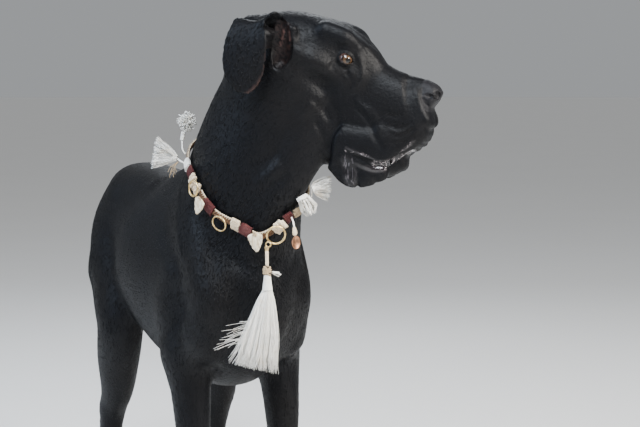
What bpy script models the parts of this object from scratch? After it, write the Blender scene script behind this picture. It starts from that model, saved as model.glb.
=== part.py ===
"""A great dane that stands with its head turned to its left, in a knotted cord collar with tassels.

Metres. X points forward, Y to the dog's left, Z up. The floor is z = 0.
"""

import math

import bmesh
import bpy
import numpy as np

# Sizes of the dog
BACK = 0.790
BRISKET = 0.402
RIB_HALF = 0.133
BREAST = 0.115
BUTTOCK = -0.630
LEG_HALF_APART = 0.092
KNEE_HEIGHT = 0.475
HOCK_HEIGHT = 0.215
HEAD_PLACE = (0.132, 0.020, 1.065)
HEAD_TURN = (46.0, -19.0, 2.0)
EYE_PLACE = (0.1434, 0.0431, 0.0103)
EYE_RADIUS = 0.0125
NOSE_BACK = 0.2865
NOSE_HALF = 0.0272
HIND = {
    "right": {"knee": -0.415, "hock": -0.550, "paw": -0.545, "side": -0.080, "thigh": 0.460},
    "left": {"knee": -0.355, "hock": -0.445, "paw": -0.425, "side": 0.125, "thigh": 0.438},
}

# Sizes of the collar, half widths and half thicknesses
CORD = (0.0062, 0.0030)
WRAP = (0.0110, 0.0045)
ROLL = (0.0125, 0.0065)
CLEAR = 0.0012
GAP = 0.0003

# Fineness of the solids
CELL = 0.008
FLESH_TRIANGLES = 3720
EAR_TRIANGLES = 290

# From the middle of the forefeet to the middle of the box
PLACE = (0.2250, -0.0487, 0.0)

FAR = 0.25
PROBES = np.array([[1, -1, -1], [-1, -1, 1], [-1, 1, -1], [1, 1, 1]], float)

COLOURS = {
    "black_coat": ((0.012, 0.012, 0.014), 0.45, 0.0),
    "nose_leather": ((0.015, 0.014, 0.015), 0.35, 0.0),
    "eye_amber": ((0.25, 0.11, 0.03), 0.1, 0.0),
    "brown_cord": ((0.33, 0.18, 0.08), 0.7, 0.0),
    "burgundy_cord": ((0.16, 0.02, 0.025), 0.6, 0.0),
    "cream_cloth": ((0.75, 0.62, 0.45), 0.8, 0.0),
    "cream_shell": ((0.85, 0.78, 0.62), 0.4, 0.0),
    "brass": ((0.62, 0.45, 0.20), 0.3, 1.0),
    "copper": ((0.42, 0.20, 0.10), 0.35, 1.0),
    "white_yarn": ((0.86, 0.83, 0.76), 0.9, 0.0),
    "tan_cord": ((0.45, 0.33, 0.18), 0.7, 0.0),
}


# Curves and frames


def smooth_rows(rows, steps, closed=False):
    """Rows of numbers joined by a smooth curve through each of them."""
    rows = np.array(rows, float)
    if len(rows) == 2 and not closed:
        share = np.linspace(0, 1, steps + 1)[:, None]
        return rows[0] * (1 - share) + rows[1] * share
    if closed:
        ends = np.vstack([rows[-1], rows, rows[0], rows[1]])
    else:
        ends = np.vstack([2 * rows[0] - rows[1], rows, 2 * rows[-1] - rows[-2]])
    out = []
    for i in range(1, len(ends) - 2):
        a, b, c, d = ends[i - 1 : i + 3]
        for t in np.arange(steps) / steps:
            bend = (2 * a - 5 * b + 4 * c - d) * t * t + (3 * b - a - 3 * c + d) * t**3
            out.append(0.5 * (2 * b + (c - a) * t + bend))
    if not closed:
        out.append(rows[-1])
    return np.array(out)


def unit(vectors):
    return vectors / np.maximum(np.linalg.norm(vectors, axis=-1, keepdims=True), 1e-9)


def nearest(points, path):
    """Number of the path's nearest stretch, the share along it, and the distance."""
    start, step = path[:-1], path[1:] - path[:-1]
    length = np.maximum((step**2).sum(1), 1e-12)
    share = np.clip((points @ step.T - (start * step).sum(1)) / length, 0, 1)
    best = np.full(len(points), 1e9)
    index = np.zeros(len(points), int)
    for i in range(len(start)):
        away = ((points - start[i] - share[:, i, None] * step[i]) ** 2).sum(1)
        closer = away < best
        best[closer] = away[closer]
        index[closer] = i
    return index, share[np.arange(len(points)), index], np.sqrt(best)


def turned(heading, pitch, roll):
    """Columns are the forward, left and up directions of something turned by these degrees."""
    h, p, r = math.radians(heading), math.radians(pitch), math.radians(roll)
    forward = np.array([math.cos(p) * math.cos(h), math.cos(p) * math.sin(h), math.sin(p)])
    level = np.array([-math.sin(h), math.cos(h), 0])
    left = math.cos(r) * level + math.sin(r) * np.cross(forward, level)
    return np.stack([forward, left, np.cross(forward, left)], 1)


# The forms that the body is made of


class Form:
    """A soft form along a path. A station is x, y, z, half width, half height above and below."""

    def __init__(self, stations, across=(0, 1, 0), square=2.0, blend=0.03, cap=1.0, egg=0.0, steps=5):
        rows = smooth_rows(stations, steps)
        self.path = rows[:, :3]
        self.half = rows[:, 3:6]
        self.along = unit(np.gradient(self.path, axis=0))
        across = np.array(across, float)
        self.side = unit(across - (self.along @ across)[:, None] * self.along)
        self.up = np.cross(self.along, self.side)
        self.square, self.blend, self.cap, self.egg = square, blend, cap, egg
        reach = self.half.max() + blend + 0.03
        self.low = self.path.min(0) - reach
        self.high = self.path.max(0) + reach

    def distance(self, points):
        out = np.full(len(points), FAR)
        near = ((points > self.low) & (points < self.high)).all(1)
        p = points[near]
        if not len(p):
            return out
        i, t, _ = nearest(p, self.path)
        t = t[:, None]

        def at(values):
            return values[i] * (1 - t) + values[i + 1] * t

        off = p - at(self.path)
        half = at(self.half)
        u = (off * at(self.side)).sum(1)
        v = (off * at(self.up)).sum(1)
        w = (off * at(self.along)).sum(1)
        b = np.where(v > 0, half[:, 1], half[:, 2])
        a = half[:, 0] * (1 + self.egg * np.clip(v / b, -1.2, 1.2))
        c = np.minimum(half[:, 0], half[:, 1:].mean(1)) * self.cap
        last = len(self.path) - 2
        beyond = ((i == 0) & (t[:, 0] <= 0)) | ((i == last) & (t[:, 0] >= 1))
        w = np.where(beyond, w, 0)
        n = self.square
        terms = np.abs(np.stack([u / a, v / b, w / c], 1)) + 1e-9
        k = (terms**n).sum(1) ** (1 / n)
        slope = k ** (1 - n) * np.sqrt(((terms ** (n - 1) / np.stack([a, b, c], 1)) ** 2).sum(1))
        out[near] = (k - 1) / np.maximum(slope, 1 / 0.3)
        return out

    def rings(self, count, least=0.0):
        """Rings of points from one end's cap to the other's."""
        angle = np.arange(count) / count * 2 * math.pi
        rings = [self.ring(0, angle, least, math.cos(q), -math.sin(q)) for q in (1.2, 0.8, 0.4)]
        rings += [self.ring(j, angle, least, 1.0, 0.0) for j in range(len(self.path))]
        return rings + [self.ring(-1, angle, least, math.cos(q), math.sin(q)) for q in (0.4, 0.8, 1.2)]

    def ring(self, j, angle, least, shrink, push):
        half = np.maximum(self.half[j], least)
        v = np.sign(np.sin(angle)) * np.abs(np.sin(angle)) ** (2 / self.square)
        u = np.sign(np.cos(angle)) * np.abs(np.cos(angle)) ** (2 / self.square)
        u = u * half[0] * (1 + self.egg * v) * shrink
        v = v * np.where(v > 0, half[1], half[2]) * shrink
        tip = min(half[0], half[1:].mean()) * self.cap * push
        return self.path[j] + u[:, None] * self.side[j] + v[:, None] * self.up[j] + self.along[j] * tip


class Crease:
    """A groove along a path, or a ridge where its depth is under 0."""

    def __init__(self, path, depth, width, steps=5):
        self.path = smooth_rows(path, steps)
        self.depth, self.width = depth, width
        self.low = self.path.min(0) - 3 * width
        self.high = self.path.max(0) + 3 * width

    def sink(self, points):
        out = np.zeros(len(points))
        near = ((points > self.low) & (points < self.high)).all(1)
        p = points[near]
        if not len(p):
            return out
        i, t, away = nearest(p, self.path)
        share = (i + t) / (len(self.path) - 1)
        fade = np.clip(4 * share, 0, 1) * np.clip(4 * (1 - share), 0, 1)
        out[near] = self.depth * np.exp(-((away / self.width) ** 2)) * fade * (2 - fade)
        return out


class Shape:
    """Forms and creases in one frame. One that is made both ways is also across y = 0."""

    def __init__(self, turn=(0, 0, 0), place=(0, 0, 0)):
        self.turn = turned(*turn)
        self.place = np.array(place, float)
        self.forms = []
        self.creases = []

    def form(self, stations, both=False, **settings):
        self.forms.append((Form(stations, **settings), both))

    def crease(self, path, depth, width, both=True):
        self.creases.append((Crease(path, depth, width), both))

    def world(self, points):
        return np.atleast_2d(points) @ self.turn.T + self.place

    def local(self, points):
        points = (points - self.place) @ self.turn
        return points, np.column_stack([points[:, 0], np.abs(points[:, 1]), points[:, 2]])


def blended(a, b, reach):
    """The lesser of two distances, rounded where they cross."""
    share = np.maximum(reach - np.abs(a - b), 0) / reach
    return np.minimum(a, b) - share**3 * reach / 6


def distance(points, shapes):
    """Roughly the distance from the skin, under 0 inside it."""
    total = np.full(len(points), FAR)
    for shape in shapes:
        plain, folded = shape.local(points)
        for form, both in shape.forms:
            total = blended(total, form.distance(folded if both else plain), form.blend)
    for shape in shapes:
        plain, folded = shape.local(points)
        for crease, both in shape.creases:
            total = total + crease.sink(folded if both else plain)
    return total


def settled(points, shapes, lift=0.0, rounds=5, reach=0.004, probe=0.0007):
    """Points moved along the slope until they are this far above the skin, and the skin's normals there."""
    points = np.array(points, float)
    for _ in range(rounds):
        values = [distance(points + k * probe, shapes) for k in PROBES]
        slope = sum(k[None] * v[:, None] for k, v in zip(PROBES, values)) / (4 * probe)
        miss = sum(values) / 4 - lift
        step = np.clip(-miss / np.maximum((slope**2).sum(1), 0.15), -reach, reach)
        points += step[:, None] * slope
    return points, unit(slope)


# The dog, part by part


def add_trunk(body):
    # Rib cage and belly
    body.form(
        [
            (BREAST, 0, 0.60, 0.050, 0.085, 0.085),
            (0.08, 0, 0.60, 0.078, 0.140, 0.145),
            (0.02, 0, 0.60, 0.096, 0.175, 0.185),
            (-0.06, 0, 0.60, 0.112, 0.195, 0.60 - BRISKET),
            (-0.15, 0, 0.60, 0.126, BACK - 0.598, 0.192),
            (-0.25, 0, 0.61, RIB_HALF, BACK - 0.614, 0.180),
            (-0.34, 0, 0.63, 0.127, BACK - 0.634, 0.158),
            (-0.42, 0, 0.66, 0.106, 0.128, 0.138),
            (-0.50, 0, 0.68, 0.088, 0.110, 0.115),
            (-0.57, 0, 0.69, 0.070, 0.080, 0.080),
        ],
        square=2.15,
        blend=0.02,
        cap=0.6,
    )
    # Loin and rump
    body.form(
        [
            (-0.33, 0, 0.735, 0.070, 0.055, 0.060),
            (-0.45, 0, 0.735, 0.080, 0.062, 0.070),
            (-0.53, 0, 0.728, 0.080, 0.064, 0.080),
            (-0.595, 0, 0.702, 0.062, 0.055, 0.070),
            (BUTTOCK, 0, 0.675, 0.038, 0.040, 0.050),
        ],
        square=2.3,
        blend=0.05,
        cap=0.7,
    )
    # Withers
    body.form(
        [
            (0.0, 0, 0.755, 0.050, 0.060, 0.080),
            (-0.06, 0, 0.766, 0.046, 0.056, 0.090),
            (-0.14, 0, 0.760, 0.048, 0.048, 0.080),
            (-0.24, 0, 0.745, 0.050, 0.046, 0.070),
        ],
        blend=0.06,
    )
    # Breast bone
    body.form(
        [
            (0.085, 0, 0.66, 0.045, 0.050, 0.050),
            (0.108, 0, 0.62, 0.045, 0.045, 0.050),
            (0.095, 0, 0.555, 0.045, 0.045, 0.050),
        ],
        blend=0.05,
    )
    # Breast muscle, shoulder blade, upper arm and the muscle behind it
    body.form(
        [
            (0.090, 0.038, 0.640, 0.040, 0.032, 0.032),
            (0.078, 0.050, 0.575, 0.044, 0.036, 0.034),
            (0.045, 0.064, 0.510, 0.042, 0.040, 0.030),
        ],
        both=True,
        blend=0.04,
        cap=0.9,
    )
    body.form(
        [
            (-0.075, 0.058, 0.765, 0.020, 0.040, 0.045),
            (-0.015, 0.080, 0.700, 0.026, 0.056, 0.056),
            (0.040, 0.082, 0.625, 0.032, 0.056, 0.054),
            (0.064, 0.074, 0.585, 0.030, 0.048, 0.048),
        ],
        both=True,
        blend=0.045,
        cap=0.9,
    )
    body.form(
        [
            (0.062, 0.070, 0.605, 0.032, 0.048, 0.048),
            (0.026, 0.083, 0.535, 0.035, 0.048, 0.050),
            (-0.030, 0.090, 0.465, 0.034, 0.044, 0.045),
        ],
        both=True,
        blend=0.04,
        cap=0.9,
    )
    body.form(
        [
            (-0.060, 0.096, 0.630, 0.026, 0.050, 0.050),
            (-0.075, 0.102, 0.550, 0.030, 0.050, 0.055),
            (-0.060, 0.098, 0.475, 0.026, 0.036, 0.034),
        ],
        both=True,
        blend=0.045,
        cap=0.9,
    )
    # Upper thigh
    body.form(
        [
            (-0.480, 0.055, 0.735, 0.040, 0.055, 0.050),
            (-0.520, 0.068, 0.655, 0.049, 0.085, 0.092),
            (-0.515, 0.077, 0.575, 0.047, 0.088, 0.098),
        ],
        both=True,
        blend=0.05,
        cap=0.8,
    )


def add_foreleg(body, y):
    body.form(
        [
            (-0.035, y * 1.05, 0.485, 0.036, 0.045, 0.052),
            (-0.020, y, 0.430, 0.037, 0.045, 0.050),
            (-0.008, y, 0.370, 0.034, 0.041, 0.043),
            (0.000, y, 0.290, 0.029, 0.034, 0.033),
            (0.003, y, 0.215, 0.0275, 0.030, 0.028),
            (0.006, y, 0.175, 0.030, 0.032, 0.030),
            (0.006, y, 0.135, 0.0265, 0.027, 0.026),
            (0.014, y, 0.095, 0.0265, 0.026, 0.026),
            (0.028, y * 1.02, 0.055, 0.030, 0.028, 0.030),
        ],
        blend=0.035,
        square=2.1,
        cap=0.8,
    )
    # Elbow, and the small bone behind the wrist
    body.form(
        [(-0.075, y * 1.12, 0.475, 0.016, 0.02, 0.02), (-0.06, y * 1.08, 0.43, 0.016, 0.02, 0.02)],
        blend=0.035,
    )
    body.form(
        [(-0.018, y, 0.165, 0.013, 0.014, 0.014), (-0.026, y, 0.148, 0.012, 0.012, 0.012)],
        blend=0.02,
    )


def add_hind_leg(body, knee, hock, paw, side, **_):
    out = math.copysign(1, side)
    body.form(
        [
            (-0.505, 0.074 * out, 0.60, 0.048, 0.080, 0.100),
            ((knee - 0.50) / 2, 0.088 * out, 0.535, 0.049, 0.078, 0.092),
            (knee - 0.004, 0.096 * out, KNEE_HEIGHT, 0.047, 0.066, 0.074),
            (knee * 0.6 + hock * 0.4 + 0.008, side * 0.5 + 0.048 * out, 0.39, 0.044, 0.058, 0.062),
            (knee * 0.3 + hock * 0.7 + 0.012, side, 0.315, 0.0345, 0.044, 0.048),
            (hock + 0.015, side, HOCK_HEIGHT + 0.045, 0.025, 0.029, 0.032),
        ],
        blend=0.05,
        square=2.1,
        cap=0.8,
    )
    # Heel tendon and the point of the hock
    body.form(
        [
            (knee * 0.45 + hock * 0.55 - 0.036, side, 0.345, 0.018, 0.022, 0.022),
            (hock - 0.014, side, HOCK_HEIGHT + 0.055, 0.013, 0.014, 0.014),
            (hock - 0.028, side, HOCK_HEIGHT + 0.010, 0.016, 0.014, 0.014),
        ],
        blend=0.03,
    )
    # From the hock down to the paw
    body.form(
        [
            (hock + 0.020, side, HOCK_HEIGHT + 0.050, 0.024, 0.026, 0.028),
            (hock + 0.004, side, HOCK_HEIGHT, 0.0255, 0.034, 0.029),
            (hock + 0.002, side, HOCK_HEIGHT - 0.050, 0.0225, 0.026, 0.024),
            ((hock + paw) / 2 + 0.008, side, 0.115, 0.022, 0.024, 0.023),
            (paw - 0.010, side, 0.068, 0.025, 0.025, 0.024),
            (paw + 0.010, side, 0.048, 0.028, 0.026, 0.027),
        ],
        blend=0.03,
        square=2.1,
        cap=0.8,
    )


def add_paw(body, x, y, turn, scale=1.0):
    """Four toes with their pads, and the middle of the paw."""
    c, s = math.cos(turn), math.sin(turn)

    def row(forward, left, up, half, above, below):
        place = (x + (c * forward - s * left) * scale, y + (s * forward + c * left) * scale, up * scale)
        return place + (half * scale, above * scale, below * scale)

    level = (-s, c, 0)
    body.form(
        [
            row(-0.030, 0, 0.036, 0.028, 0.022, 0.028),
            row(0.000, 0, 0.034, 0.034, 0.026, 0.027),
            row(0.022, 0, 0.026, 0.034, 0.018, 0.020),
        ],
        across=level,
        blend=0.015,
        square=2.2,
    )
    for left, ahead in ((-0.030, -0.004), (-0.0105, 0.010), (0.0105, 0.010), (0.030, -0.004)):
        body.form(
            [
                row(ahead, left * 0.72, 0.040, 0.0115, 0.0130, 0.0140),
                row(ahead + 0.022, left * 0.93, 0.0385, 0.0115, 0.0120, 0.0130),
                row(ahead + 0.040, left, 0.024, 0.0115, 0.0125, 0.0130),
                row(ahead + 0.047, left, 0.013, 0.0105, 0.0100, 0.0100),
            ],
            across=level,
            blend=0.007,
            square=2.2,
        )
        body.form(
            [
                row(ahead + 0.034, left, 0.0075, 0.0098, 0.007, 0.0095),
                row(ahead + 0.048, left, 0.0070, 0.0090, 0.006, 0.0090),
            ],
            across=level,
            blend=0.006,
        )
    body.form(
        [row(-0.020, 0, 0.009, 0.024, 0.010, 0.011), row(0.006, 0, 0.008, 0.026, 0.010, 0.010)],
        across=level,
        blend=0.008,
    )


def add_tail(body):
    body.form(
        [
            (-0.595, 0, 0.715, 0.034, 0.030, 0.034),
            (-0.645, 0, 0.690, 0.029, 0.028, 0.030),
            (-0.682, -0.010, 0.630, 0.025, 0.025, 0.025),
            (-0.700, -0.018, 0.550, 0.021, 0.021, 0.021),
            (-0.712, -0.022, 0.460, 0.0175, 0.0175, 0.0175),
            (-0.722, -0.022, 0.370, 0.0145, 0.0145, 0.0145),
            (-0.742, -0.018, 0.285, 0.012, 0.012, 0.012),
            (-0.777, -0.012, 0.215, 0.0085, 0.0085, 0.0085),
            (-0.795, -0.010, 0.193, 0.0055, 0.0055, 0.0055),
        ],
        blend=0.04,
    )


def add_neck(body):
    body.form(
        [
            (-0.020, 0, 0.700, 0.095, 0.150, 0.155),
            (0.028, 0, 0.775, 0.090, 0.148, 0.138),
            (0.064, 0.002, 0.850, 0.082, 0.138, 0.116),
            (0.094, 0.008, 0.925, 0.072, 0.119, 0.104),
            (0.120, 0.014, 0.985, 0.062, 0.094, 0.092),
            (0.142, 0.028, 1.035, 0.056, 0.072, 0.085),
        ],
        across=(-0.25, 1, 0),
        blend=0.055,
        square=2.05,
        cap=0.5,
    )
    # Loose skin from the chin to the throat
    body.form(
        [
            (0.190, 0.060, 0.915, 0.026, 0.026, 0.026),
            (0.192, 0.056, 0.862, 0.023, 0.023, 0.023),
            (0.186, 0.040, 0.830, 0.019, 0.019, 0.019),
            (0.176, 0.022, 0.795, 0.017, 0.017, 0.017),
        ],
        across=(-0.3, 1, 0),
        blend=0.05,
    )
    # Windpipe
    body.form(
        [
            (0.185, 0.050, 0.93, 0.030, 0.03, 0.03),
            (0.180, 0.032, 0.86, 0.032, 0.03, 0.03),
            (0.152, 0.011, 0.78, 0.034, 0.03, 0.03),
            (0.120, 0.000, 0.70, 0.035, 0.03, 0.03),
        ],
        across=(-0.3, 1, 0),
        blend=0.05,
    )


def head_shape():
    """The head in its own frame: X along the bridge to the nose, Y left, Z up."""
    head = Shape(HEAD_TURN, HEAD_PLACE)
    # Skull
    head.form(
        [
            (-0.04, 0, -0.008, 0.044, 0.0370, 0.050),
            (0.02, 0, 0.000, 0.060, 0.0560, 0.060),
            (0.065, 0, 0.000, 0.066, 0.0625, 0.060),
            (0.10, 0, 0.000, 0.062, 0.0645, 0.055),
            (0.128, 0, -0.002, 0.050, 0.0590, 0.050),
            (0.15, 0, -0.008, 0.044, 0.0540, 0.050),
        ],
        square=2.5,
        blend=0.02,
        cap=0.7,
        egg=-0.06,
    )
    # Muzzle
    head.form(
        [
            (0.11, 0, -0.045, 0.046, 0.0780, 0.070),
            (0.16, 0, -0.050, 0.044, 0.0860, 0.080),
            (0.20, 0, -0.055, 0.042, 0.0735, 0.085),
            (0.25, 0, -0.055, 0.0415, 0.0675, 0.080),
            (0.275, 0, -0.050, 0.041, 0.0665, 0.061),
            (0.2940, 0, -0.034, 0.036, 0.0510, 0.033),
        ],
        square=2.9,
        blend=0.03,
        cap=0.42,
        egg=-0.06,
    )
    # Bridge
    head.form(
        [
            (0.15, 0, 0.014, 0.0180, 0.0240, 0.03),
            (0.19, 0, 0.001, 0.0180, 0.0220, 0.03),
            (0.23, 0, -0.008, 0.0185, 0.0250, 0.03),
            (0.27, 0, -0.008, 0.0190, 0.0275, 0.03),
        ],
        square=2.4,
        blend=0.02,
    )
    # Lower jaw and throat
    head.form(
        [
            (0.07, 0, -0.085, 0.050, 0.050, 0.045),
            (0.14, 0, -0.130, 0.045, 0.042, 0.049),
            (0.20, 0, -0.140, 0.037, 0.030, 0.033),
            (0.255, 0, -0.137, 0.031, 0.025, 0.030),
            (0.283, 0, -0.127, 0.023, 0.022, 0.020),
        ],
        square=2.3,
        blend=0.02,
        cap=0.6,
    )
    head.form(
        [
            (-0.02, 0, -0.060, 0.046, 0.060, 0.060),
            (0.05, 0, -0.100, 0.046, 0.060, 0.060),
            (0.12, 0, -0.125, 0.036, 0.045, 0.045),
        ],
        square=2.1,
        blend=0.04,
    )
    # Upper lip, and the hanging folds of the lower lip
    head.form(
        [
            (0.294, 0.022, -0.060, 0.0120, 0.022, 0.018),
            (0.278, 0.031, -0.081, 0.0120, 0.028, 0.024),
            (0.254, 0.0380, -0.104, 0.0110, 0.034, 0.030),
            (0.220, 0.041, -0.118, 0.0105, 0.040, 0.028),
            (0.175, 0.043, -0.122, 0.0100, 0.040, 0.024),
        ],
        both=True,
        blend=0.014,
    )
    head.form(
        [
            (0.262, 0.030, -0.150, 0.0100, 0.018, 0.017),
            (0.238, 0.034, -0.166, 0.0100, 0.022, 0.021),
            (0.212, 0.036, -0.172, 0.0105, 0.026, 0.025),
            (0.184, 0.038, -0.158, 0.0100, 0.026, 0.020),
        ],
        both=True,
        blend=0.014,
    )
    # Cheek, cheek bone and brow
    head.form(
        [
            (0.030, 0.048, -0.030, 0.022, 0.030, 0.030),
            (0.065, 0.050, -0.060, 0.024, 0.036, 0.034),
            (0.105, 0.046, -0.085, 0.016, 0.030, 0.028),
        ],
        both=True,
        blend=0.03,
    )
    head.form(
        [
            (0.030, 0.058, 0.000, 0.012, 0.016, 0.014),
            (0.085, 0.062, -0.008, 0.012, 0.014, 0.014),
            (0.130, 0.048, -0.014, 0.011, 0.012, 0.013),
            (0.170, 0.036, -0.020, 0.008, 0.012, 0.014),
        ],
        both=True,
        blend=0.03,
    )
    head.form(
        [
            (0.095, 0.045, 0.046, 0.014, 0.016, 0.014),
            (0.128, 0.041, 0.043, 0.016, 0.018, 0.014),
            (0.150, 0.031, 0.031, 0.013, 0.015, 0.014),
        ],
        both=True,
        blend=0.025,
    )
    # Nose, with a wing beside each nostril
    head.form(
        [
            (0.278, 0, -0.004, 0.0210, 0.0250, 0.024),
            (0.294, 0, -0.006, 0.0245, 0.0250, 0.025),
            (0.304, 0, -0.009, 0.0235, 0.0210, 0.023),
        ],
        square=2.3,
        blend=0.010,
        cap=0.35,
    )
    head.form(
        [(0.289, 0.0175, -0.008, 0.0090, 0.012, 0.01), (0.300, 0.0175, -0.009, 0.0085, 0.012, 0.01)],
        both=True,
        blend=0.006,
        cap=0.8,
    )
    # Mouth, the hollow round the eye, and the line below the nose
    mouth = [
        (0.309, 0.010, -0.064),
        (0.297, 0.025, -0.085),
        (0.283, 0.035, -0.110),
        (0.268, 0.040, -0.132),
        (0.250, 0.043, -0.1425),
        (0.232, 0.044, -0.142),
        (0.190, 0.046, -0.137),
    ]
    head.crease(mouth, 0.007, 0.0045)
    head.crease([(0.158, 0.050, -0.001), (0.1415, 0.060, -0.006), (0.124, 0.062, 0.000)], 0.004, 0.012)
    head.crease([(0.318, 0.0, -0.020), (0.318, 0.0, -0.060)], 0.003, 0.004, both=False)
    return head


def ear_shape():
    """Both ears: a cup at the skull, then a flap that folds over and hangs."""
    ears = Shape(HEAD_TURN, HEAD_PLACE)
    fold = (0.90, 0.14, 0.41)
    ears.form(
        [
            (0.044, 0.050, -0.036, 0.020, 0.015, 0.015),
            (0.036, 0.059, -0.004, 0.027, 0.016, 0.016),
            (0.026, 0.062, 0.026, 0.028, 0.012, 0.012),
        ],
        across=fold,
        both=True,
        blend=0.010,
        square=2.2,
        cap=0.8,
    )
    ears.form(
        [
            (0.026, 0.0500, -0.004, 0.026, 0.0045, 0.0045),
            (0.008, 0.0580, 0.018, 0.038, 0.0045, 0.0045),
            (-0.011, 0.0680, 0.024, 0.047, 0.0045, 0.0045),
            (-0.021, 0.0790, 0.019, 0.047, 0.0040, 0.0040),
            (-0.022, 0.0870, 0.001, 0.0460, 0.0036, 0.0036),
            (-0.020, 0.0905, -0.025, 0.0460, 0.0033, 0.0033),
            (-0.012, 0.0915, -0.055, 0.0440, 0.0032, 0.0032),
            (-0.004, 0.0910, -0.078, 0.0345, 0.0031, 0.0031),
            (0.001, 0.0900, -0.094, 0.0200, 0.0030, 0.0030),
        ],
        across=fold,
        both=True,
        blend=0.008,
        square=2.3,
        cap=1.6,
        steps=6,
    )
    return ears


def body_shape():
    body = Shape()
    add_trunk(body)
    for y in (LEG_HALF_APART, -LEG_HALF_APART):
        add_foreleg(body, y)
        add_paw(body, 0.052, y * 1.065, math.copysign(0.04, y))
    for leg in HIND.values():
        add_hind_leg(body, **leg)
        add_paw(body, leg["paw"] + 0.040, leg["side"] * 1.02, math.copysign(0.05, leg["side"]), 0.95)
    add_tail(body)
    add_neck(body)
    return body


# Meshes


def mesh_object(name, points, faces):
    mesh = bpy.data.meshes.new(name)
    mesh.from_pydata([tuple(p) for p in points], [], faces)
    item = bpy.data.objects.new(name, mesh)
    bpy.context.collection.objects.link(item)
    return item


def lofted(rings, closed=False):
    """Points and faces of a body drawn through rings of points."""
    count = len(rings[0])
    faces = []
    for j in range(len(rings) if closed else len(rings) - 1):
        a, b = j * count, (j + 1) % len(rings) * count
        for i in range(count):
            k = (i + 1) % count
            faces.append((a + i, a + k, b + k, b + i))
    if not closed:
        faces.append(tuple(range(count))[::-1])
        faces.append(tuple(range((len(rings) - 1) * count, len(rings) * count)))
    return np.concatenate(rings), faces


def outward(item):
    """Turns all faces of a closed mesh to the outside."""
    form = bmesh.new()
    form.from_mesh(item.data)
    bmesh.ops.recalc_face_normals(form, faces=form.faces)
    if form.calc_volume(signed=True) < 0:
        bmesh.ops.reverse_faces(form, faces=form.faces)
    form.to_mesh(item.data)
    form.free()
    return item


def with_modifier(item, kind, **settings):
    """The item with one modifier made permanent."""
    modifier = item.modifiers.new(kind, kind)
    for name, value in settings.items():
        setattr(modifier, name, value)
    graph = bpy.context.evaluated_depsgraph_get()
    mesh = bpy.data.meshes.new_from_object(item.evaluated_get(graph))
    item.modifiers.clear()
    item.data = mesh
    return item


def arrays(item):
    mesh = item.data
    points = np.empty(len(mesh.vertices) * 3)
    mesh.vertices.foreach_get("co", points)
    edges = np.empty(len(mesh.edges) * 2, np.int64)
    mesh.edges.foreach_get("vertices", edges)
    return points.reshape(-1, 3), edges.reshape(-1, 2)


def set_points(item, points):
    item.data.vertices.foreach_set("co", np.asarray(points, float).ravel())
    item.data.update()


def evened(points, edges, normals):
    """Points moved part of the way to the middle of their neighbours, along the skin only."""
    total = np.zeros_like(points)
    for a, b in ((0, 1), (1, 0)):
        for k in range(3):
            total[:, k] += np.bincount(edges[:, a], points[edges[:, b], k], len(points))
    move = total / np.maximum(np.bincount(edges.ravel(), minlength=len(points)), 1)[:, None] - points
    move -= (move * normals).sum(1)[:, None] * normals
    return points + 0.6 * move


def skin_object(name, shapes, cell, least, triangles):
    """One closed mesh on the skin of the shapes."""
    parts, faces, start = [], [], 0
    for shape in shapes:
        for form, both in shape.forms:
            points, quads = lofted(form.rings(16, least))
            for flip in (1, -1) if both else (1,):
                parts.append(shape.world(points * [1, flip, 1]))
                faces += [tuple(start + i for i in (quad if flip > 0 else quad[::-1])) for quad in quads]
                start += len(points)
    item = outward(mesh_object(name, np.concatenate(parts), faces))
    with_modifier(item, "REMESH", mode="VOXEL", voxel_size=cell)
    points, edges = arrays(item)
    points, normals = settled(points, shapes, rounds=5, reach=0.006)
    for _ in range(2):
        points, normals = settled(evened(points, edges, normals), shapes, rounds=1)
    set_points(item, points)
    ratio = triangles / (2 * len(item.data.polygons))
    with_modifier(item, "DECIMATE", ratio=ratio, use_collapse_triangulate=True)
    return item


def cut(item, cutter):
    """Takes the cutter away from the item, and removes the cutter."""
    with_modifier(item, "BOOLEAN", operation="DIFFERENCE", solver="EXACT", object=cutter)
    bpy.data.objects.remove(cutter)
    return item


def slab(place, normal, along, half_u, half_v, thick=GAP):
    """A thin plate across a place, half_u long both ways along. It parts what it crosses."""
    normal = unit(np.array(normal, float))
    u = unit(np.array(along, float) - (normal @ np.array(along, float)) * normal)
    v = np.cross(normal, u)
    points = []
    for w in (-thick / 2, thick / 2):
        for a, b in ((-1, -1), (1, -1), (1, 1), (-1, 1)):
            points.append(np.array(place) + u * a * half_u + v * b * half_v + normal * w)
    faces = [(3, 2, 1, 0), (4, 5, 6, 7), (0, 1, 5, 4), (1, 2, 6, 5), (2, 3, 7, 6), (3, 0, 4, 7)]
    return outward(mesh_object("slab", points, faces))


def cup(place, forward, left, depth, half_u, half_v, thick=GAP):
    """A thin-walled box with its front open. It parts what stands inside it."""
    up = np.cross(forward, left)
    corners = np.array([(-1, -1), (1, -1), (1, 1), (-1, 1)])
    rings = []
    for wall, ahead in ((0, 0), (0, depth), (thick, depth), (thick, thick)):
        u = corners[:, :1] * (half_u - wall) * left
        v = corners[:, 1:] * (half_v - wall) * up
        rings.append(np.array(place) + u + v + ahead * forward)
    return outward(mesh_object("cup", *lofted(rings)))


def ball(place, radius):
    form = bmesh.new()
    bmesh.ops.create_uvsphere(form, u_segments=12, v_segments=8, radius=radius)
    bmesh.ops.translate(form, verts=form.verts, vec=tuple(place))
    mesh = bpy.data.meshes.new("ball")
    form.to_mesh(mesh)
    form.free()
    item = bpy.data.objects.new("ball", mesh)
    bpy.context.collection.objects.link(item)
    return outward(item)


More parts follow.
